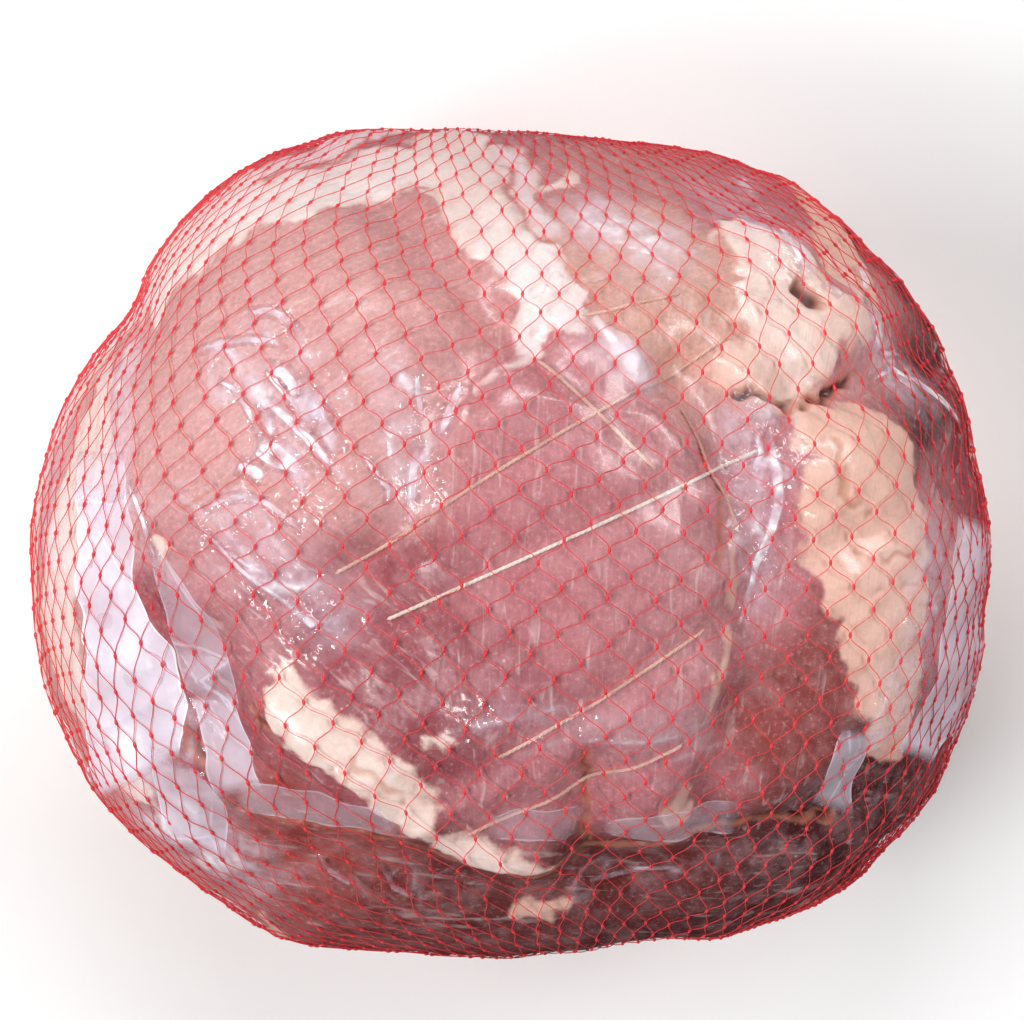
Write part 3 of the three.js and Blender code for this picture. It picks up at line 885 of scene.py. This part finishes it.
# Where the film is crumpled: how much, which way its wrinkles run, how far, and the line.
CRUMPLED = {
    "upper left": (1.0, -58, 13, [(-70, 50), (-58, 36), (-50, 22)]),
    "left of centre": (0.9, 80, 6, [(-24, 40), (-22, 18)]),
    "lower left": (0.8, -38, 10, [(-76, 8), (-50, -18)]),
    "far left": (0.4, 60, 9, [(-100, 46), (-94, 0)]),
    "near left": (0.45, 75, 11, [(-84, -40), (-80, -78)]),
    "far right": (0.8, -50, 9, [(60, 94), (72, 74)]),
    "right": (0.9, 85, 8, [(66, 30), (69, -8)]),
    "right flank": (0.8, -20, 9, [(90, 70), (104, 44)]),
    "far muscle": (0.35, 20, 13, [(26, 84), (42, 74)]),
    "near edge": (0.5, 10, 9, [(-4, -46), (54, -54)]),
    "near right": (0.7, 60, 10, [(90, -62), (104, -20)]),
    "near muscle": (0.34, 78, 12, [(-74, -80), (0, -92), (70, -86)]),
}
CRUMPLE_EVERYWHERE = 0.04
CRUMPLE_SIZE = 12.0  # mm, for two wrinkles
CRUMPLE_SHARPNESS = 0.35
# the white on a crumple's crest is painted highlight
RIDGE_HIGHLIGHT_WHITENESS = 0.5  # the milkiness of the film on a crumple's crest

# Where it is cloudy: how much, how far, and the line. Partly it is the film's own
# milkiness, and partly painted sheen, where the film would mirror the broad lamps.
CLOUDY = {
    "far muscle": (0.6, 9, [(22, 84), (38, 77)]),
    "seam's tail": (0.4, 5, [(24, 50), (33, 44)]),
    "upper left": (0.22, 10, [(-66, 46), (-54, 28)]),
    "left of centre": (0.22, 6, [(-30, 42), (-26, 14)]),
    "lower left": (0.25, 7, [(-72, 8), (-46, -20)]),
    "far right": (0.3, 8, [(54, 92), (68, 78)]),
    "right flank": (0.45, 9, [(94, 56), (106, 44)]),
    "right": (0.32, 6, [(62, 32), (67, -12)]),
    "near edge": (0.12, 6, [(-5, -43), (46, -48)]),
    "far left": (0.45, 8, [(-100, 50), (-104, 10)]),
    "near left": (0.4, 12, [(-106, -44), (-84, -70)]),
    "near right": (0.3, 12, [(106, -4), (102, -36)]),
    "near left rim": (0.55, 11, [(-90, -74), (-74, -84)]),
    "near muscle": (0.02, 12, [(-60, -84), (0, -92), (60, -88)]),
    "left rim": (0.3, 10, [(-112, 40), (-118, -10)]),
}
HAZE_EVERYWHERE = 0.014


def most_of(points, zones):
    """The most of several soft zones at points: each has its share on a line and falls off
    from it as a bell curve. A zone is its share, its reach and its line in the picture."""
    share = np.zeros(len(points))
    for most, reach, line in zones:
        distance = line_distance(points, seen_on_face(line))
        share = np.maximum(share, most * swell(distance, reach))
    return share


def crumple_relief(points):
    """How high the film's crumples stand, and how white their crests are painted as painted
    highlight: in each zone thin winding ridges, where a random field drawn out along the
    zone's direction crosses 0."""
    height = np.zeros(len(points))
    for number, (most, degrees, reach, line) in enumerate(CRUMPLED.values()):
        turn = np.radians(degrees)
        along = points[:, 0] * np.cos(turn) + points[:, 1] * np.sin(turn)
        across = points[:, 1] * np.cos(turn) - points[:, 0] * np.sin(turn)
        drawn_out = np.column_stack([0.3 * along, across, 0.6 * points[:, 2]])
        field = ripples(drawn_out, CRUMPLE_SIZE, 200 + number)
        broken = np.clip(0.5 + 0.8 * ripples(points, 14, 230 + number), 0, 1)
        ridges = swell(field, CRUMPLE_SHARPNESS) * broken
        height = np.maximum(height, most_of(points, [(most, reach, line)]) * ridges)
    return RIDGE_HEIGHT * height, RIDGE_HIGHLIGHT_WHITENESS * height


FILM_MIRROR_LIMIT = 0.16  # its small wrinkles keep it from mirroring more where seen flat on
LEAST_SLACK = 0.4
SLACK_RISE = 50.0  # over the widest level, from which film and net lie fully slack


def slackness(smooth):
    """How loosely film and net lie at points: fully on the crown, and closer down the sides."""
    share = np.clip((smooth[:, 2] - WIDEST_HEIGHT) / SLACK_RISE, 0, 1)
    return LEAST_SLACK + (1 - LEAST_SLACK) * share


def film_out(smooth, height, gap):
    """How far out the film lies: over the flesh by its rise, but over only a part of a gap."""
    rise = FILM_RISE * slackness(smooth)
    return height - FLESH_DEPTH + rise - (1 - GAP_BRIDGED) * GAP_DEPTH * gap**2


# Clear polyethylene film: nearly nothing to see but its gloss, which is that of both its
# faces, and a lilac milkiness where it is slack. Crumpling gives it small sharp glints. Its
# milkiness also carries painted highlight on the wrinkles' crests and painted sheen in
# some cloudy zones.
def clear_film(name, haze_name, rim=0.0):
    material, tree = new_material(name)
    mm = place_in_mm(tree)
    crumple = painted(tree, "crumple")
    milky = painted(tree, haze_name)
    cloud = add(tree, "ShaderNodeTexNoise", {"Vector": mm, "Scale": 0.16, "Detail": 2.0,
                                             "Roughness": 0.6})
    folds = add(tree, "ShaderNodeMath", {0: cloud, 1: crumple}, operation="MULTIPLY")
    dents = add(tree, "ShaderNodeBump", {"Height": folds, "Strength": 1.0, "Distance": 6 * MM})
    seen = add(tree, "ShaderNodeFresnel", {"IOR": 1.5, "Normal": dents})
    both_faces = add(tree, "ShaderNodeMath", {0: seen, 1: 2.0}, operation="MULTIPLY")
    both_faces = add(tree, "ShaderNodeMath", {0: both_faces, 1: FILM_MIRROR_LIMIT},
                     operation="MINIMUM")
    rough = ramp(tree, crumple, 0.1, 0.6, 0.22, 0.07)
    gloss = add(tree, "ShaderNodeBsdfGlossy", {"Color": (1, 1, 1, 1), "Roughness": rough,
                                               "Normal": dents})
    through = add(tree, "ShaderNodeBsdfTransparent", {"Color": linear("#fdf8fa")})
    clear = add(tree, "ShaderNodeMixShader", {0: both_faces, 1: through, 2: gloss})
    patchy = ramp(tree, cloud, 0.35, 0.65, 0.94 if rim else 0.5, 1.06 if rim else 1.45)
    milky = add(tree, "ShaderNodeMath", {0: patchy, 1: milky}, operation="MULTIPLY",
                use_clamp=True)
    if rim:
        edge = painted(tree, "edge")
        whiter = ramp(tree, edge, 0.25, 0.6, rim, 0.0)
        milky = add(tree, "ShaderNodeMath", {0: milky, 1: whiter}, operation="ADD",
                    use_clamp=True)
    # lilac where it is only hazy, and white where it is milkiest, which on the wrinkles'
    # crests is painted highlight
    white = ramp(tree, milky, 0.85 if rim else 0.45, 1.1 if rim else 0.95)
    tint = blend(tree, white, linear("#efe5f4"), linear("#ffffff"))
    milk = add(tree, "ShaderNodeBsdfPrincipled", {
        "Base Color": tint, "Roughness": 0.3, "IOR": 1.5, "Normal": dents,
    })
    shader = add(tree, "ShaderNodeMixShader", {0: milky, 1: clear, 2: milk})
    add(tree, "ShaderNodeOutputMaterial", {"Surface": shader})
    return material


CLEAR_FILM = clear_film("clear_film", "haze_and_painted_highlights")
for side, (smooth, quads, height, gap) in flesh.items():
    # white is painted highlight on the crumples' crests
    ridges, white = crumple_relief(smooth)
    out = film_out(smooth, height, gap) + ridges
    piece = put_mesh("film_" + side, skin(smooth, FILM_CREASE_SHARE, out, FILM_FLOOR_GAP),
                     quads, CLEAR_FILM)
    zones = [(most, reach, line) for most, _, reach, line in CRUMPLED.values()]
    paint(piece, "crumple", np.maximum(most_of(smooth, zones), CRUMPLE_EVERYWHERE))
    paint(piece, "haze_and_painted_highlights", HAZE_EVERYWHERE + most_of(smooth, CLOUDY.values()) + white)
    piece.visible_shadow = piece.visible_diffuse = False  # it is too clear to shade the meat
    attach(piece, "root")
    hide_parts("netted_leg")

WRINKLE_ROWS, WRINKLE_COLUMNS = 60, 13
WRINKLE_RISE = 0.06  # of its edges over the rest of the film
# A wrinkle's white crest is painted highlight, for the glint that it shows.
CREST_START = 0.34  # share of its height at which a wrinkle starts to whiten
CREST_RISE = 0.22  # share of its height over which it turns fully white
WRINKLE_HIGHLIGHT = 0.95  # the milkiness of the film on a sharp wrinkle's crest


def spaced(line, count):
    """A line of points with count points spaced evenly along it."""
    line = np.array(line, float)
    run = np.concatenate([[0], np.linalg.norm(np.diff(line, axis=0), axis=1).cumsum()])
    even = np.linspace(0, run[-1], count)
    return np.column_stack([np.interp(even, run, line[:, axis]) for axis in range(line.shape[1])])


def grid_quads(rows, columns):
    """The quads of a sheet of points, rows by columns."""
    index = np.arange(rows * columns).reshape(rows, columns)
    quads = np.stack([index[:-1, :-1], index[1:, :-1], index[1:, 1:], index[:-1, 1:]], -1)
    return quads.reshape(-1, 4)


def wrinkle(highlight_whiteness, width, line):
    """A narrow strip of film along one wrinkle: it rises to its middle as a bell curve, which
    tapers to nothing at both ends. Returns its points, its quads and its milkiness, which
    along the crest is painted highlight."""
    middle = spaced(line, WRINKLE_ROWS)
    side = unit(np.gradient(middle, axis=0)[:, ::-1] * [-1, 1])
    across = np.linspace(-2, 2, WRINKLE_COLUMNS)
    seen = middle[:, None] - side[:, None] * (width * across)[None, :, None]
    smooth = smooth_form(unit(seen_on_face(seen.reshape(-1, 2)) - MIDDLE))
    taper = np.sqrt(np.sin(np.linspace(0, np.pi, WRINKLE_ROWS)).clip(0, 1))
    ridge = np.outer(taper, swell(across, 1)).ravel()
    height = flesh_height(smooth, fat_depth(smooth)[0])
    out = film_out(smooth, height, gap_share(smooth)) + RIDGE_HEIGHT * ridge + WRINKLE_RISE
    broken = np.clip(0.85 + 0.3 * ripples(smooth, 7, 91), 0, 1)
    painted_crest_highlight = np.clip((ridge - CREST_START) / CREST_RISE, 0, 1) * broken
    points = skin(smooth, FILM_CREASE_SHARE, out, floor_gap=FILM_FLOOR_GAP)
    return points, grid_quads(WRINKLE_ROWS, WRINKLE_COLUMNS), WRINKLE_HIGHLIGHT * highlight_whiteness * painted_crest_highlight


wrinkles = [wrinkle(*values) for values in WRINKLES.values()]
points, faces = joined([(points, quads.tolist()) for points, quads, _ in wrinkles])
piece = put_mesh("film_wrinkles", points, faces, CLEAR_FILM)
# painted highlight: the wrinkles' white crests
paint(piece, "haze_and_painted_highlights", np.concatenate([white for _, _, white in wrinkles]))
paint(piece, "crumple", np.full(len(points), 0.5))
piece.visible_shadow = piece.visible_diffuse = False
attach(piece, "root")
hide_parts("netted_leg")


# ---- The loose film ----
# The bag's ends and hems, which lie folded over on the tight film. They aren't stuck down,
# so they look milky, and a fold or a cut edge shows as a whiter line.

FLAP_RISE = 0.3
FLAP_WAVES = 0.14  # how unevenly it lies
FLAP_FADE = 3.5  # over which a flap's milkiness sets in at its ends
FLAP_ROWS, FLAP_COLUMNS = 110, 34

# Each lies between two lines, placed in the picture's plane: milkiness, then lines.
FLAPS = {
    "left_end": (
        0.82,
        [(-114, 16), (-114, 5), (-113, -15), (-110, -38), (-110, -54), (-106, -67)],
        [(-100, 15), (-98, 5), (-100, -11), (-96, -20), (-90, -28), (-86, -44), (-87, -56)],
    ),
    "left_tab": (0.5, [(-113, 23), (-114, 9)], [(-100, 24), (-100, 11)]),
    "left_fold": (0.3, [(-93, -3), (-90, -27), (-86, -41)],
                  [(-90, -1), (-77, -21), (-73, -31), (-70, -45)]),
    "left_corner": (0.35, [(-90, -27), (-82, -40)], [(-81, -29), (-73, -32)]),
    "near_left_fold": (0.5, [(-86, -41), (-80, -56), (-77, -67)],
                       [(-74, -38), (-68, -54), (-65, -64)]),
    "near_left_end": (0.5, [(-94, -53), (-92, -67), (-87, -80)],
                      [(-81, -59), (-75, -69), (-75, -83)]),
    "hem_left": (0.24, [(-72, -64), (-67, -62), (-50, -64), (-33, -67), (-28, -71)],
                 [(-72, -69), (-65, -71), (-50, -73), (-37, -75), (-29, -75)]),
    "hem_middle": (0.2, [(-7, -70), (2, -68), (10, -68), (19, -69)],
                   [(-5, -75), (5, -76), (13, -76), (17, -75)]),
    "hem_right": (0.2, [(24, -72), (34, -70), (49, -70), (61, -68)],
                  [(24, -75), (34, -77), (49, -78), (60, -77)]),
    "right_end": (0.64, [(116, 8), (114, -4), (113, -20), (108, -38), (99, -53)],
                  [(125, 5), (126, -4), (125, -21), (120, -41), (109, -58)]),
    "right_strip": (0.5, [(84, -47), (82, -58), (80, -69)], [(93, -46), (91, -58), (90, -72)]),
}

# Sharp folds in them, which show as thin white lines.
FOLDS = [
    [(-108.5, 3), (-104.3, -4), (-100.4, -11.7), (-95, -19.5), (-91, -24)],
    [(-113.6, 11), (-111.7, 12.5), (-110, 11), (-104, 10)],
    [(-93.3, -6), (-91.8, -18), (-90.2, -26.5), (-88, -40)],
    [(-89.4, -2.3), (-84, -12.5), (-77.7, -21.8), (-73, -30.4)],
    [(-89.4, -26.5), (-81.6, -28), (-73, -30.4), (-82.4, -36.7), (-73, -45)],
    [(-88.7, -36.7), (-81.6, -43), (-76.4, -49), (-66.6, -55.4)],
    [(-81.6, -38.5), (-74.6, -42), (-69.7, -49)],
    [(-88.7, -76.4), (-79.8, -77.5), (-76.4, -82)],
    [(-83.5, -64), (-78.3, -67.6), (-79.6, -75)],
    [(86, -48), (88, -60), (84, -70)],
    [(118, 4), (117, -20), (112, -44)],
]


def flap(name, milkiness, one_edge, other_edge, material):
    """A ruled sheet between two lines, laid on the film, whose outline wanders a little. Each
    point's distance to the nearest edge or fold is kept for the material."""
    first, last = spaced(one_edge, FLAP_ROWS), spaced(other_edge, FLAP_ROWS)
    share = np.linspace(0, 1, FLAP_COLUMNS)[None, :, None]
    seen = (first[:, None] * (1 - share) + last[:, None] * share).reshape(-1, 2)
    seen = warped(np.column_stack([seen, 0 * seen[:, 0]]), 0.35, 12, 64)[:, :2]
    smooth = smooth_form(unit(seen_on_face(seen) - MIDDLE))
    fat, _ = fat_depth(smooth)
    lift = FLAP_WAVES * ripples(smooth, 11, 61) + FLAP_RISE
    out = film_out(smooth, flesh_height(smooth, fat), gap_share(smooth)) + lift
    points = skin(smooth, FILM_CREASE_SHARE, out, FILM_FLOOR_GAP)
    quads = grid_quads(FLAP_ROWS, FLAP_COLUMNS)
    corners = points[quads]
    normal = np.cross(corners[:, 1] - corners[:, 0], corners[:, 2] - corners[:, 0])
    if (normal * (corners[:, 0] - MIDDLE)).sum() < 0:
        quads = quads[:, ::-1]
    piece = put_mesh("film_" + name, points, quads.tolist(), material)
    width = np.linalg.norm(last - first, axis=1)[:, None]
    long = np.linalg.norm(np.diff((first + last) / 2, axis=0), axis=1).sum()
    side_share = np.minimum(share[0, :, 0], 1 - share[0, :, 0])[None]
    row = np.arange(FLAP_ROWS)[:, None] / (FLAP_ROWS - 1)
    ends = np.clip(np.minimum(row, 1 - row) * long / FLAP_FADE, 0, 1)
    edge = (side_share * width + 1 - ends).ravel()
    for line in FOLDS:
        edge = np.minimum(edge, line_distance(smooth, seen_on_face(line)))
    paint(piece, "edge", edge + 0.25 * np.clip(ripples(smooth, 18, 65), 0, 2))
    ends = np.broadcast_to(ends, (FLAP_ROWS, FLAP_COLUMNS)).ravel()
    patchy = np.clip(1 + 0.12 * ripples(smooth, 24, 62), 0.4, 1.5)
    paint(piece, "milk", milkiness * ends * patchy)
    paint(piece, "crumple", np.full(len(points), 0.1))
    return piece


# Loose polyethylene film: the same film, cloudy all over, and whitest in a narrow line at
# its edges and folds.
LOOSE_FILM = clear_film("loose_film", "milk", rim=0.22)
for name, (milkiness, one_edge, other_edge) in FLAPS.items():
    piece = flap(name, milkiness, one_edge, other_edge, LOOSE_FILM)
    piece.visible_shadow = piece.visible_diffuse = False
    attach(piece, "root")
    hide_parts("netted_leg")


# ---- The net ----
# A tube of extruded red plastic net, pulled over the bag. Its threads run in pairs from
# joint to joint, and each leaves a joint along the tube and swings over to the next one, so
# that the meshes are rounded diamonds. Both ends of the tube are gathered.

COLUMNS = 70  # meshes round the tube
BAR = 8.4  # thread from one joint to the next
LEAST_OPEN = 0.3  # a mesh is never flatter than this share of a bar
THREAD_RADIUS = 0.12
JOINT_RADIUS = 0.48
JOINT_LENGTH = 1.5
THREAD_STEPS = 7  # points of a thread from one joint to the next
THREAD_SWING = 1.0  # how strongly a thread keeps to the tube's run at a joint, in bars
NET_RISE = 0.55  # of the threads' middle over the film
NET_CREASE_SHARE = 0.5
NET_SLANT = 0.1  # radians that the net is dragged round on the cut face
NET_TURN = 0.18  # radians that it is dragged along at the face's left and right
FAR_FAN = 0.48  # how much the columns crowd on the face's side at the far gather
NEAR_FAN = 0.2
FAN_MIDDLE = 0.35  # radians round from the crown where they crowd most
FAN_FADE = 0.3  # radians from a gather over which they even out again
SIDE_CROWDING = 0.95  # how much closer they are at the pack's sides than on the crown
SIDE_MIDDLE = 1.3  # radians round from the crown where they are closest
SIDE_WIDTH = 0.4
NET_UNEVEN = 0.006  # radians

gathers = on_side(GATHERS)
tube_heart = gathers.mean(0)
tube_axis = unit(gathers[0] - gathers[1])
tube_up = np.array([0.0, 0.0, 1.0])
tube_side = np.cross(tube_axis, tube_up)


def tube_directions(around, along):
    """Rays from between the gathers: around turns about the line that joins them, from the
    crown, and along turns from one gather to the other."""
    square = np.cos(around)[..., None] * tube_up + np.sin(around)[..., None] * tube_side
    return np.cos(along)[..., None] * tube_axis + np.sin(along)[..., None] * square


def net_skin(smooth):
    """Points of the smooth form as the net lies: over the film, and over most of a crease."""
    shape = smooth.shape
    smooth = smooth.reshape(-1, 3)
    rise = (FILM_RISE + NET_RISE) * slackness(smooth)
    out = flesh_height(smooth, fat_depth(smooth)[0]) - FLESH_DEPTH + rise
    return skin(smooth, NET_CREASE_SHARE, out, floor_gap=JOINT_RADIUS).reshape(shape)


def even_columns(count):
    """Turns round the tube that are evenly far apart along its middle girth, but closer by
    a bell curve at the pack's sides."""
    around = np.linspace(0, 2 * np.pi, ROUND_STEPS)
    halfway = np.full(ROUND_STEPS, np.pi / 2)
    girth = net_skin(ray_to_form(tube_heart, tube_directions(around, halfway)))
    crowding = 1 + SIDE_CROWDING * swell(np.arccos(np.cos(around[1:])) - SIDE_MIDDLE, SIDE_WIDTH)
    step = np.linalg.norm(np.diff(girth, axis=0), axis=1) * crowding
    run = np.concatenate([[0], step.cumsum()])
    return np.interp(np.arange(count) / count * run[-1], run, around)


def net_joints():
    """The joints, rows by half columns by 3. Along each half column the rows are as far apart
    as a bar leaves once the meshes' half-width is taken from it, by Pythagoras."""
    around = even_columns(2 * COLUMNS)
    along = np.linspace(0, np.pi, 241)
    turns = np.broadcast_arrays(around[:, None], along[None])
    lines = net_skin(ray_to_form(tube_heart, tube_directions(*turns)))
    step = np.linalg.norm(np.diff(lines, axis=1), axis=2)
    half = np.linalg.norm(np.roll(lines, -1, 0) - np.roll(lines, 1, 0), axis=2) / 2
    half = (half[:, 1:] + half[:, :-1]) / 2
    rise = np.sqrt(np.maximum(BAR**2 - half**2, (LEAST_OPEN * BAR) ** 2))
    rows = np.concatenate([np.zeros((len(lines), 1)), np.cumsum(step / rise, axis=1)], axis=1)
    on_crown = np.cos(around) > 0.7
    count = int(round(rows[on_crown, -1].mean()))
    turned = np.array([
        np.interp(np.arange(count + 1) / count * line[-1], line, along) for line in rows
    ]).T
    round_it = np.broadcast_to(around, turned.shape)
    on_top = np.clip(np.cos(round_it), 0, None)
    fan = np.where(turned < np.pi / 2, FAR_FAN, NEAR_FAN) * np.cos(turned) ** 2
    fan = fan * np.clip(np.sin(turned) / FAN_FADE, 0, 1)
    round_it = round_it - fan * np.sin(round_it - FAN_MIDDLE)
    round_it = round_it + NET_SLANT * np.sin(2 * turned) * on_top
    turned = turned + NET_TURN * np.sin(round_it) * on_top * np.sin(turned) ** 2
    spots = ray_to_form(tube_heart, tube_directions(round_it, turned)).reshape(-1, 3)
    fade = np.sin(turned)
    round_it = round_it + NET_UNEVEN * fade * ripples(spots, 45, 71).reshape(turned.shape)
    turned = turned + NET_UNEVEN * fade * ripples(spots, 45, 72).reshape(turned.shape)
    return net_skin(ray_to_form(tube_heart, tube_directions(round_it, turned)))


joints = net_joints()
run_of_tube = unit(np.gradient(joints, axis=0))
rows, halves = joints.shape[:2]
row, half = np.nonzero((np.add.outer(np.arange(rows), np.arange(halves)) % 2 == 0))
inner = (row >= 1) & (row <= rows - 2)


def threads(row, half, side):
    """The threads from joints to those one row on and one half column to a side: a cubic
    curve that sets out and arrives along the tube, put back on the net's form."""
    t = np.linspace(0, 1, THREAD_STEPS)[None, :, None]
    other = (half + side) % halves
    start, end = joints[row, half][:, None], joints[row + 1, other][:, None]
    set_out = run_of_tube[row, half][:, None] * BAR * THREAD_SWING
    arrive = run_of_tube[row + 1, other][:, None] * BAR * THREAD_SWING
    curve = cubic(t, start, end, set_out, arrive)
    smooth = smooth_form(unit(curve.reshape(-1, 3) - MIDDLE))
    return net_skin(smooth).reshape(curve.shape)


# Red polyethylene thread: bright and smooth, so it glints along its upper side.
def red_plastic():
    material, tree = new_material("red_polyethylene")
    mm = place_in_mm(tree)
    uneven = add(tree, "ShaderNodeTexNoise", {"Vector": mm, "Scale": 0.7, "Detail": 2.0})
    colour = blend(tree, uneven, linear("#e02a36"), linear("#f5545a"))
    gloss = ramp(tree, uneven, 0.0, 1.0, 0.22, 0.4)
    shader = add(tree, "ShaderNodeBsdfPrincipled", {
        "Base Color": colour, "Roughness": gloss, "IOR": 1.51,
    })
    add(tree, "ShaderNodeOutputMaterial", {"Surface": shader})
    return material


RED_PLASTIC = red_plastic()
first = inner & (row <= rows - 3)
left = half < COLUMNS
net_pieces = []
for name, chosen in (("net_left", first & left), ("net_right", first & ~left)):
    lines = np.concatenate([threads(row[chosen], half[chosen], side) for side in (1, -1)])
    points, faces = tubes(lines, unit(lines - MIDDLE), THREAD_RADIUS, 4)
    net_pieces.append(put_mesh(name, points, faces, RED_PLASTIC))

spots = joints[row[inner], half[inner]][:, None]
ways = run_of_tube[row[inner], half[inner]][:, None]
reach = np.array([-0.5, -0.32, 0.0, 0.32, 0.5])[None, :, None] * JOINT_LENGTH
beads = spots + ways * reach
girth = JOINT_RADIUS * np.array([0.34, 0.78, 1.0, 0.78, 0.34])[None]
points, faces = tubes(beads, unit(beads - MIDDLE), girth, 5)
net_pieces.append(put_mesh("net_joints", points, faces, RED_PLASTIC))
for piece in net_pieces:
    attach(piece, "root")
    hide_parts("netted_leg")


# ---- The gathers ----
# At each end of the tube the threads are drawn together, crimped in an aluminium clip and
# cut off in a short tassel that droops beside the pack.

TAIL_LENGTH = 22.0
TAIL_DROOP = np.radians(76)  # below the horizontal
TAIL_ROOT = 1.5  # out from the net's form
TAIL_STEPS = 20
NECK_RADIUS = 1.7
CLIP_RADIUS = 2.9
CLIP_WIRE = 1.0
CLIP_PLACE = 4.8  # along the tail
TASSEL_RADIUS = 4.4


def smooth_path(stations, steps):
    """Points along curves that pass through stations, paths by stations by 3: between two
    stations a cubic whose slope at each is that from the station before to the one after."""
    padded = np.concatenate([stations[:, :1], stations, stations[:, -1:]], axis=1)
    place = np.linspace(0, stations.shape[1] - 1 - 1e-6, steps)
    k = place.astype(int)
    t = (place - k)[None, :, None]
    before, here, ahead, after = (padded[:, k + step] for step in range(4))
    return cubic(t, here, ahead, (ahead - before) / 2, (after - here) / 2)


def tail_strands(place, ring, seed):
    """The threads of one gather: each runs from its joint to the neck, straight through the
    clip, and out to its own length and place in the tassel."""
    draw = np.random.default_rng(seed)
    angle = np.radians(place[0])
    out = np.array([np.cos(angle), np.sin(angle), 0.0])
    along = out * np.cos(TAIL_DROOP) - np.array([0, 0, np.sin(TAIL_DROOP)])
    root = net_skin(on_side([place, place]))[0] + TAIL_ROOT * out
    across = unit(np.cross(along, out))
    up = np.cross(across, along)
    count = len(ring)
    turn = np.arctan2((ring - root) @ up, (ring - root) @ across)[:, None]
    spoke = np.cos(turn) * across + np.sin(turn) * up
    share = np.sqrt(draw.uniform(0.05, 1, (count, 1)))
    length = TAIL_LENGTH * draw.uniform(0.8, 1.0, (count, 1))
    stations = np.stack([
        ring,
        root + spoke * NECK_RADIUS * 2.4 + along * 0.5,
        root + spoke * NECK_RADIUS * share + along * (CLIP_PLACE - 1.2),
        root + spoke * NECK_RADIUS * share + along * (CLIP_PLACE + 1.2),
        root + spoke * TASSEL_RADIUS * 0.6 * share + along * length * 0.6,
        root + spoke * TASSEL_RADIUS * share + along * length,
    ], axis=1)
    paths = smooth_path(stations, TAIL_STEPS)
    outward = np.broadcast_to(spoke[:, None], paths.shape)
    ring_turn = np.linspace(0, 2 * np.pi, 32, endpoint=False)[:, None]
    round_it = np.cos(ring_turn) * across + np.sin(ring_turn) * up
    clip = root + along * CLIP_PLACE + CLIP_RADIUS * round_it
    return tubes(paths, outward, THREAD_RADIUS, 5), tubes(
        clip[None], np.broadcast_to(along, clip.shape)[None], CLIP_WIRE, 10, closed=True
    )


# Aluminium wire, crimped: pale, satin, with fine scratches round it.
def crimped_wire():
    material, tree = new_material("aluminium_wire")
    mm = place_in_mm(tree)
    scratch = add(tree, "ShaderNodeTexNoise", {"Vector": mm, "Scale": 3.0, "Detail": 3.0})
    gloss = ramp(tree, scratch, 0.0, 1.0, 0.25, 0.5)
    dents = add(tree, "ShaderNodeBump", {"Height": scratch, "Strength": 0.3,
                                         "Distance": 0.1 * MM})
    shader = add(tree, "ShaderNodeBsdfPrincipled", {
        "Base Color": linear("#d6d6d8"), "Metallic": 1.0, "Roughness": gloss, "Normal": dents,
    })
    add(tree, "ShaderNodeOutputMaterial", {"Surface": shader})
    return material


far_ring = joints[1, half[row == 1]]
near_ring = joints[rows - 2, half[row == rows - 2]]
tails, clips = zip(
    tail_strands(GATHERS[0], far_ring, 81), tail_strands(GATHERS[1], near_ring, 82)
)
tail_piece = put_mesh("net_tails", *joined(tails), RED_PLASTIC)
clip_piece = put_mesh("net_clips", *joined(clips), crimped_wire())
for piece in (tail_piece, clip_piece):
    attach(piece, "root")
    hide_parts("netted_leg")


# ---- The studio ----
# A pale table, three large soft lamps, of which the left one is the brightest, three narrow
# ones whose long thin glints the film shows, and even light from all round.

TABLE_SIZE = 6000.0
corner = TABLE_SIZE / 2
table_material, table_tree = new_material("pale_table")
add(table_tree, "ShaderNodeOutputMaterial", {"Surface": add(
    table_tree, "ShaderNodeBsdfPrincipled",
    {"Base Color": linear("#fdfdfd"), "Roughness": 0.9, "Specular IOR Level": 0.1},
)})
corners = [(-corner, -corner, 0), (corner, -corner, 0), (corner, corner, 0), (-corner, corner, 0)]
table = put_mesh("table", corners, [[0, 1, 2, 3]], table_material)
table.visible_glossy = False  # the film at the rim doesn't mirror it, as by a dark surround


def soft_lamp(name, degrees, elevation, wide, high, watts, mirrored=False):
    """A flat lamp at an angle round and above the pack, facing it. Only the narrow ones are
    mirrored, as the film would show a broad one as a flat white patch."""
    lamp = bpy.data.lights.new(name, "AREA")
    lamp.shape, lamp.energy = "RECTANGLE", watts
    lamp.size, lamp.size_y = wide * MM, high * MM
    turn, tilt = np.radians(degrees), np.radians(elevation)
    piece = bpy.data.objects.new(name, lamp)
    away = np.array([np.cos(turn) * np.cos(tilt), np.sin(turn) * np.cos(tilt), np.sin(tilt)])
    piece.location = ((MIDDLE + away * LAMP_DISTANCE) * MM).tolist()
    piece.rotation_euler = (np.pi / 2 - tilt, 0, turn + np.pi / 2)
    piece.visible_glossy = mirrored
    bpy.context.scene.collection.objects.link(piece)


LAMP_DISTANCE = 3000.0
soft_lamp("key_lamp", 192, 42, 2600, 1400, 63)
soft_lamp("far_lamp", 100, 36, 2200, 1000, 31)
soft_lamp("right_lamp", 5, 40, 2200, 1200, 37)
soft_lamp("near_left_strip", 215, 48, 1600, 120, 22, mirrored=True)
soft_lamp("right_strip", 35, 48, 1600, 120, 11, mirrored=True)
soft_lamp("far_strip", 90, 44, 1600, 120, 12, mirrored=True)

world = bpy.data.worlds.new("studio")
bpy.context.scene.world = world
world.use_nodes = True
world.cycles_visibility.glossy = False
sky = world.node_tree
upward = add(sky, "ShaderNodeSeparateXYZ", {0: add(sky, "ShaderNodeTexCoord", out="Generated")},
             out="Z")
dome = ramp(sky, upward, -0.1, 0.35, 0.24, 0.5)
sky.links.new(dome, sky.nodes["Background"].inputs["Strength"])
bpy.context.scene.view_settings.view_transform = "Standard"
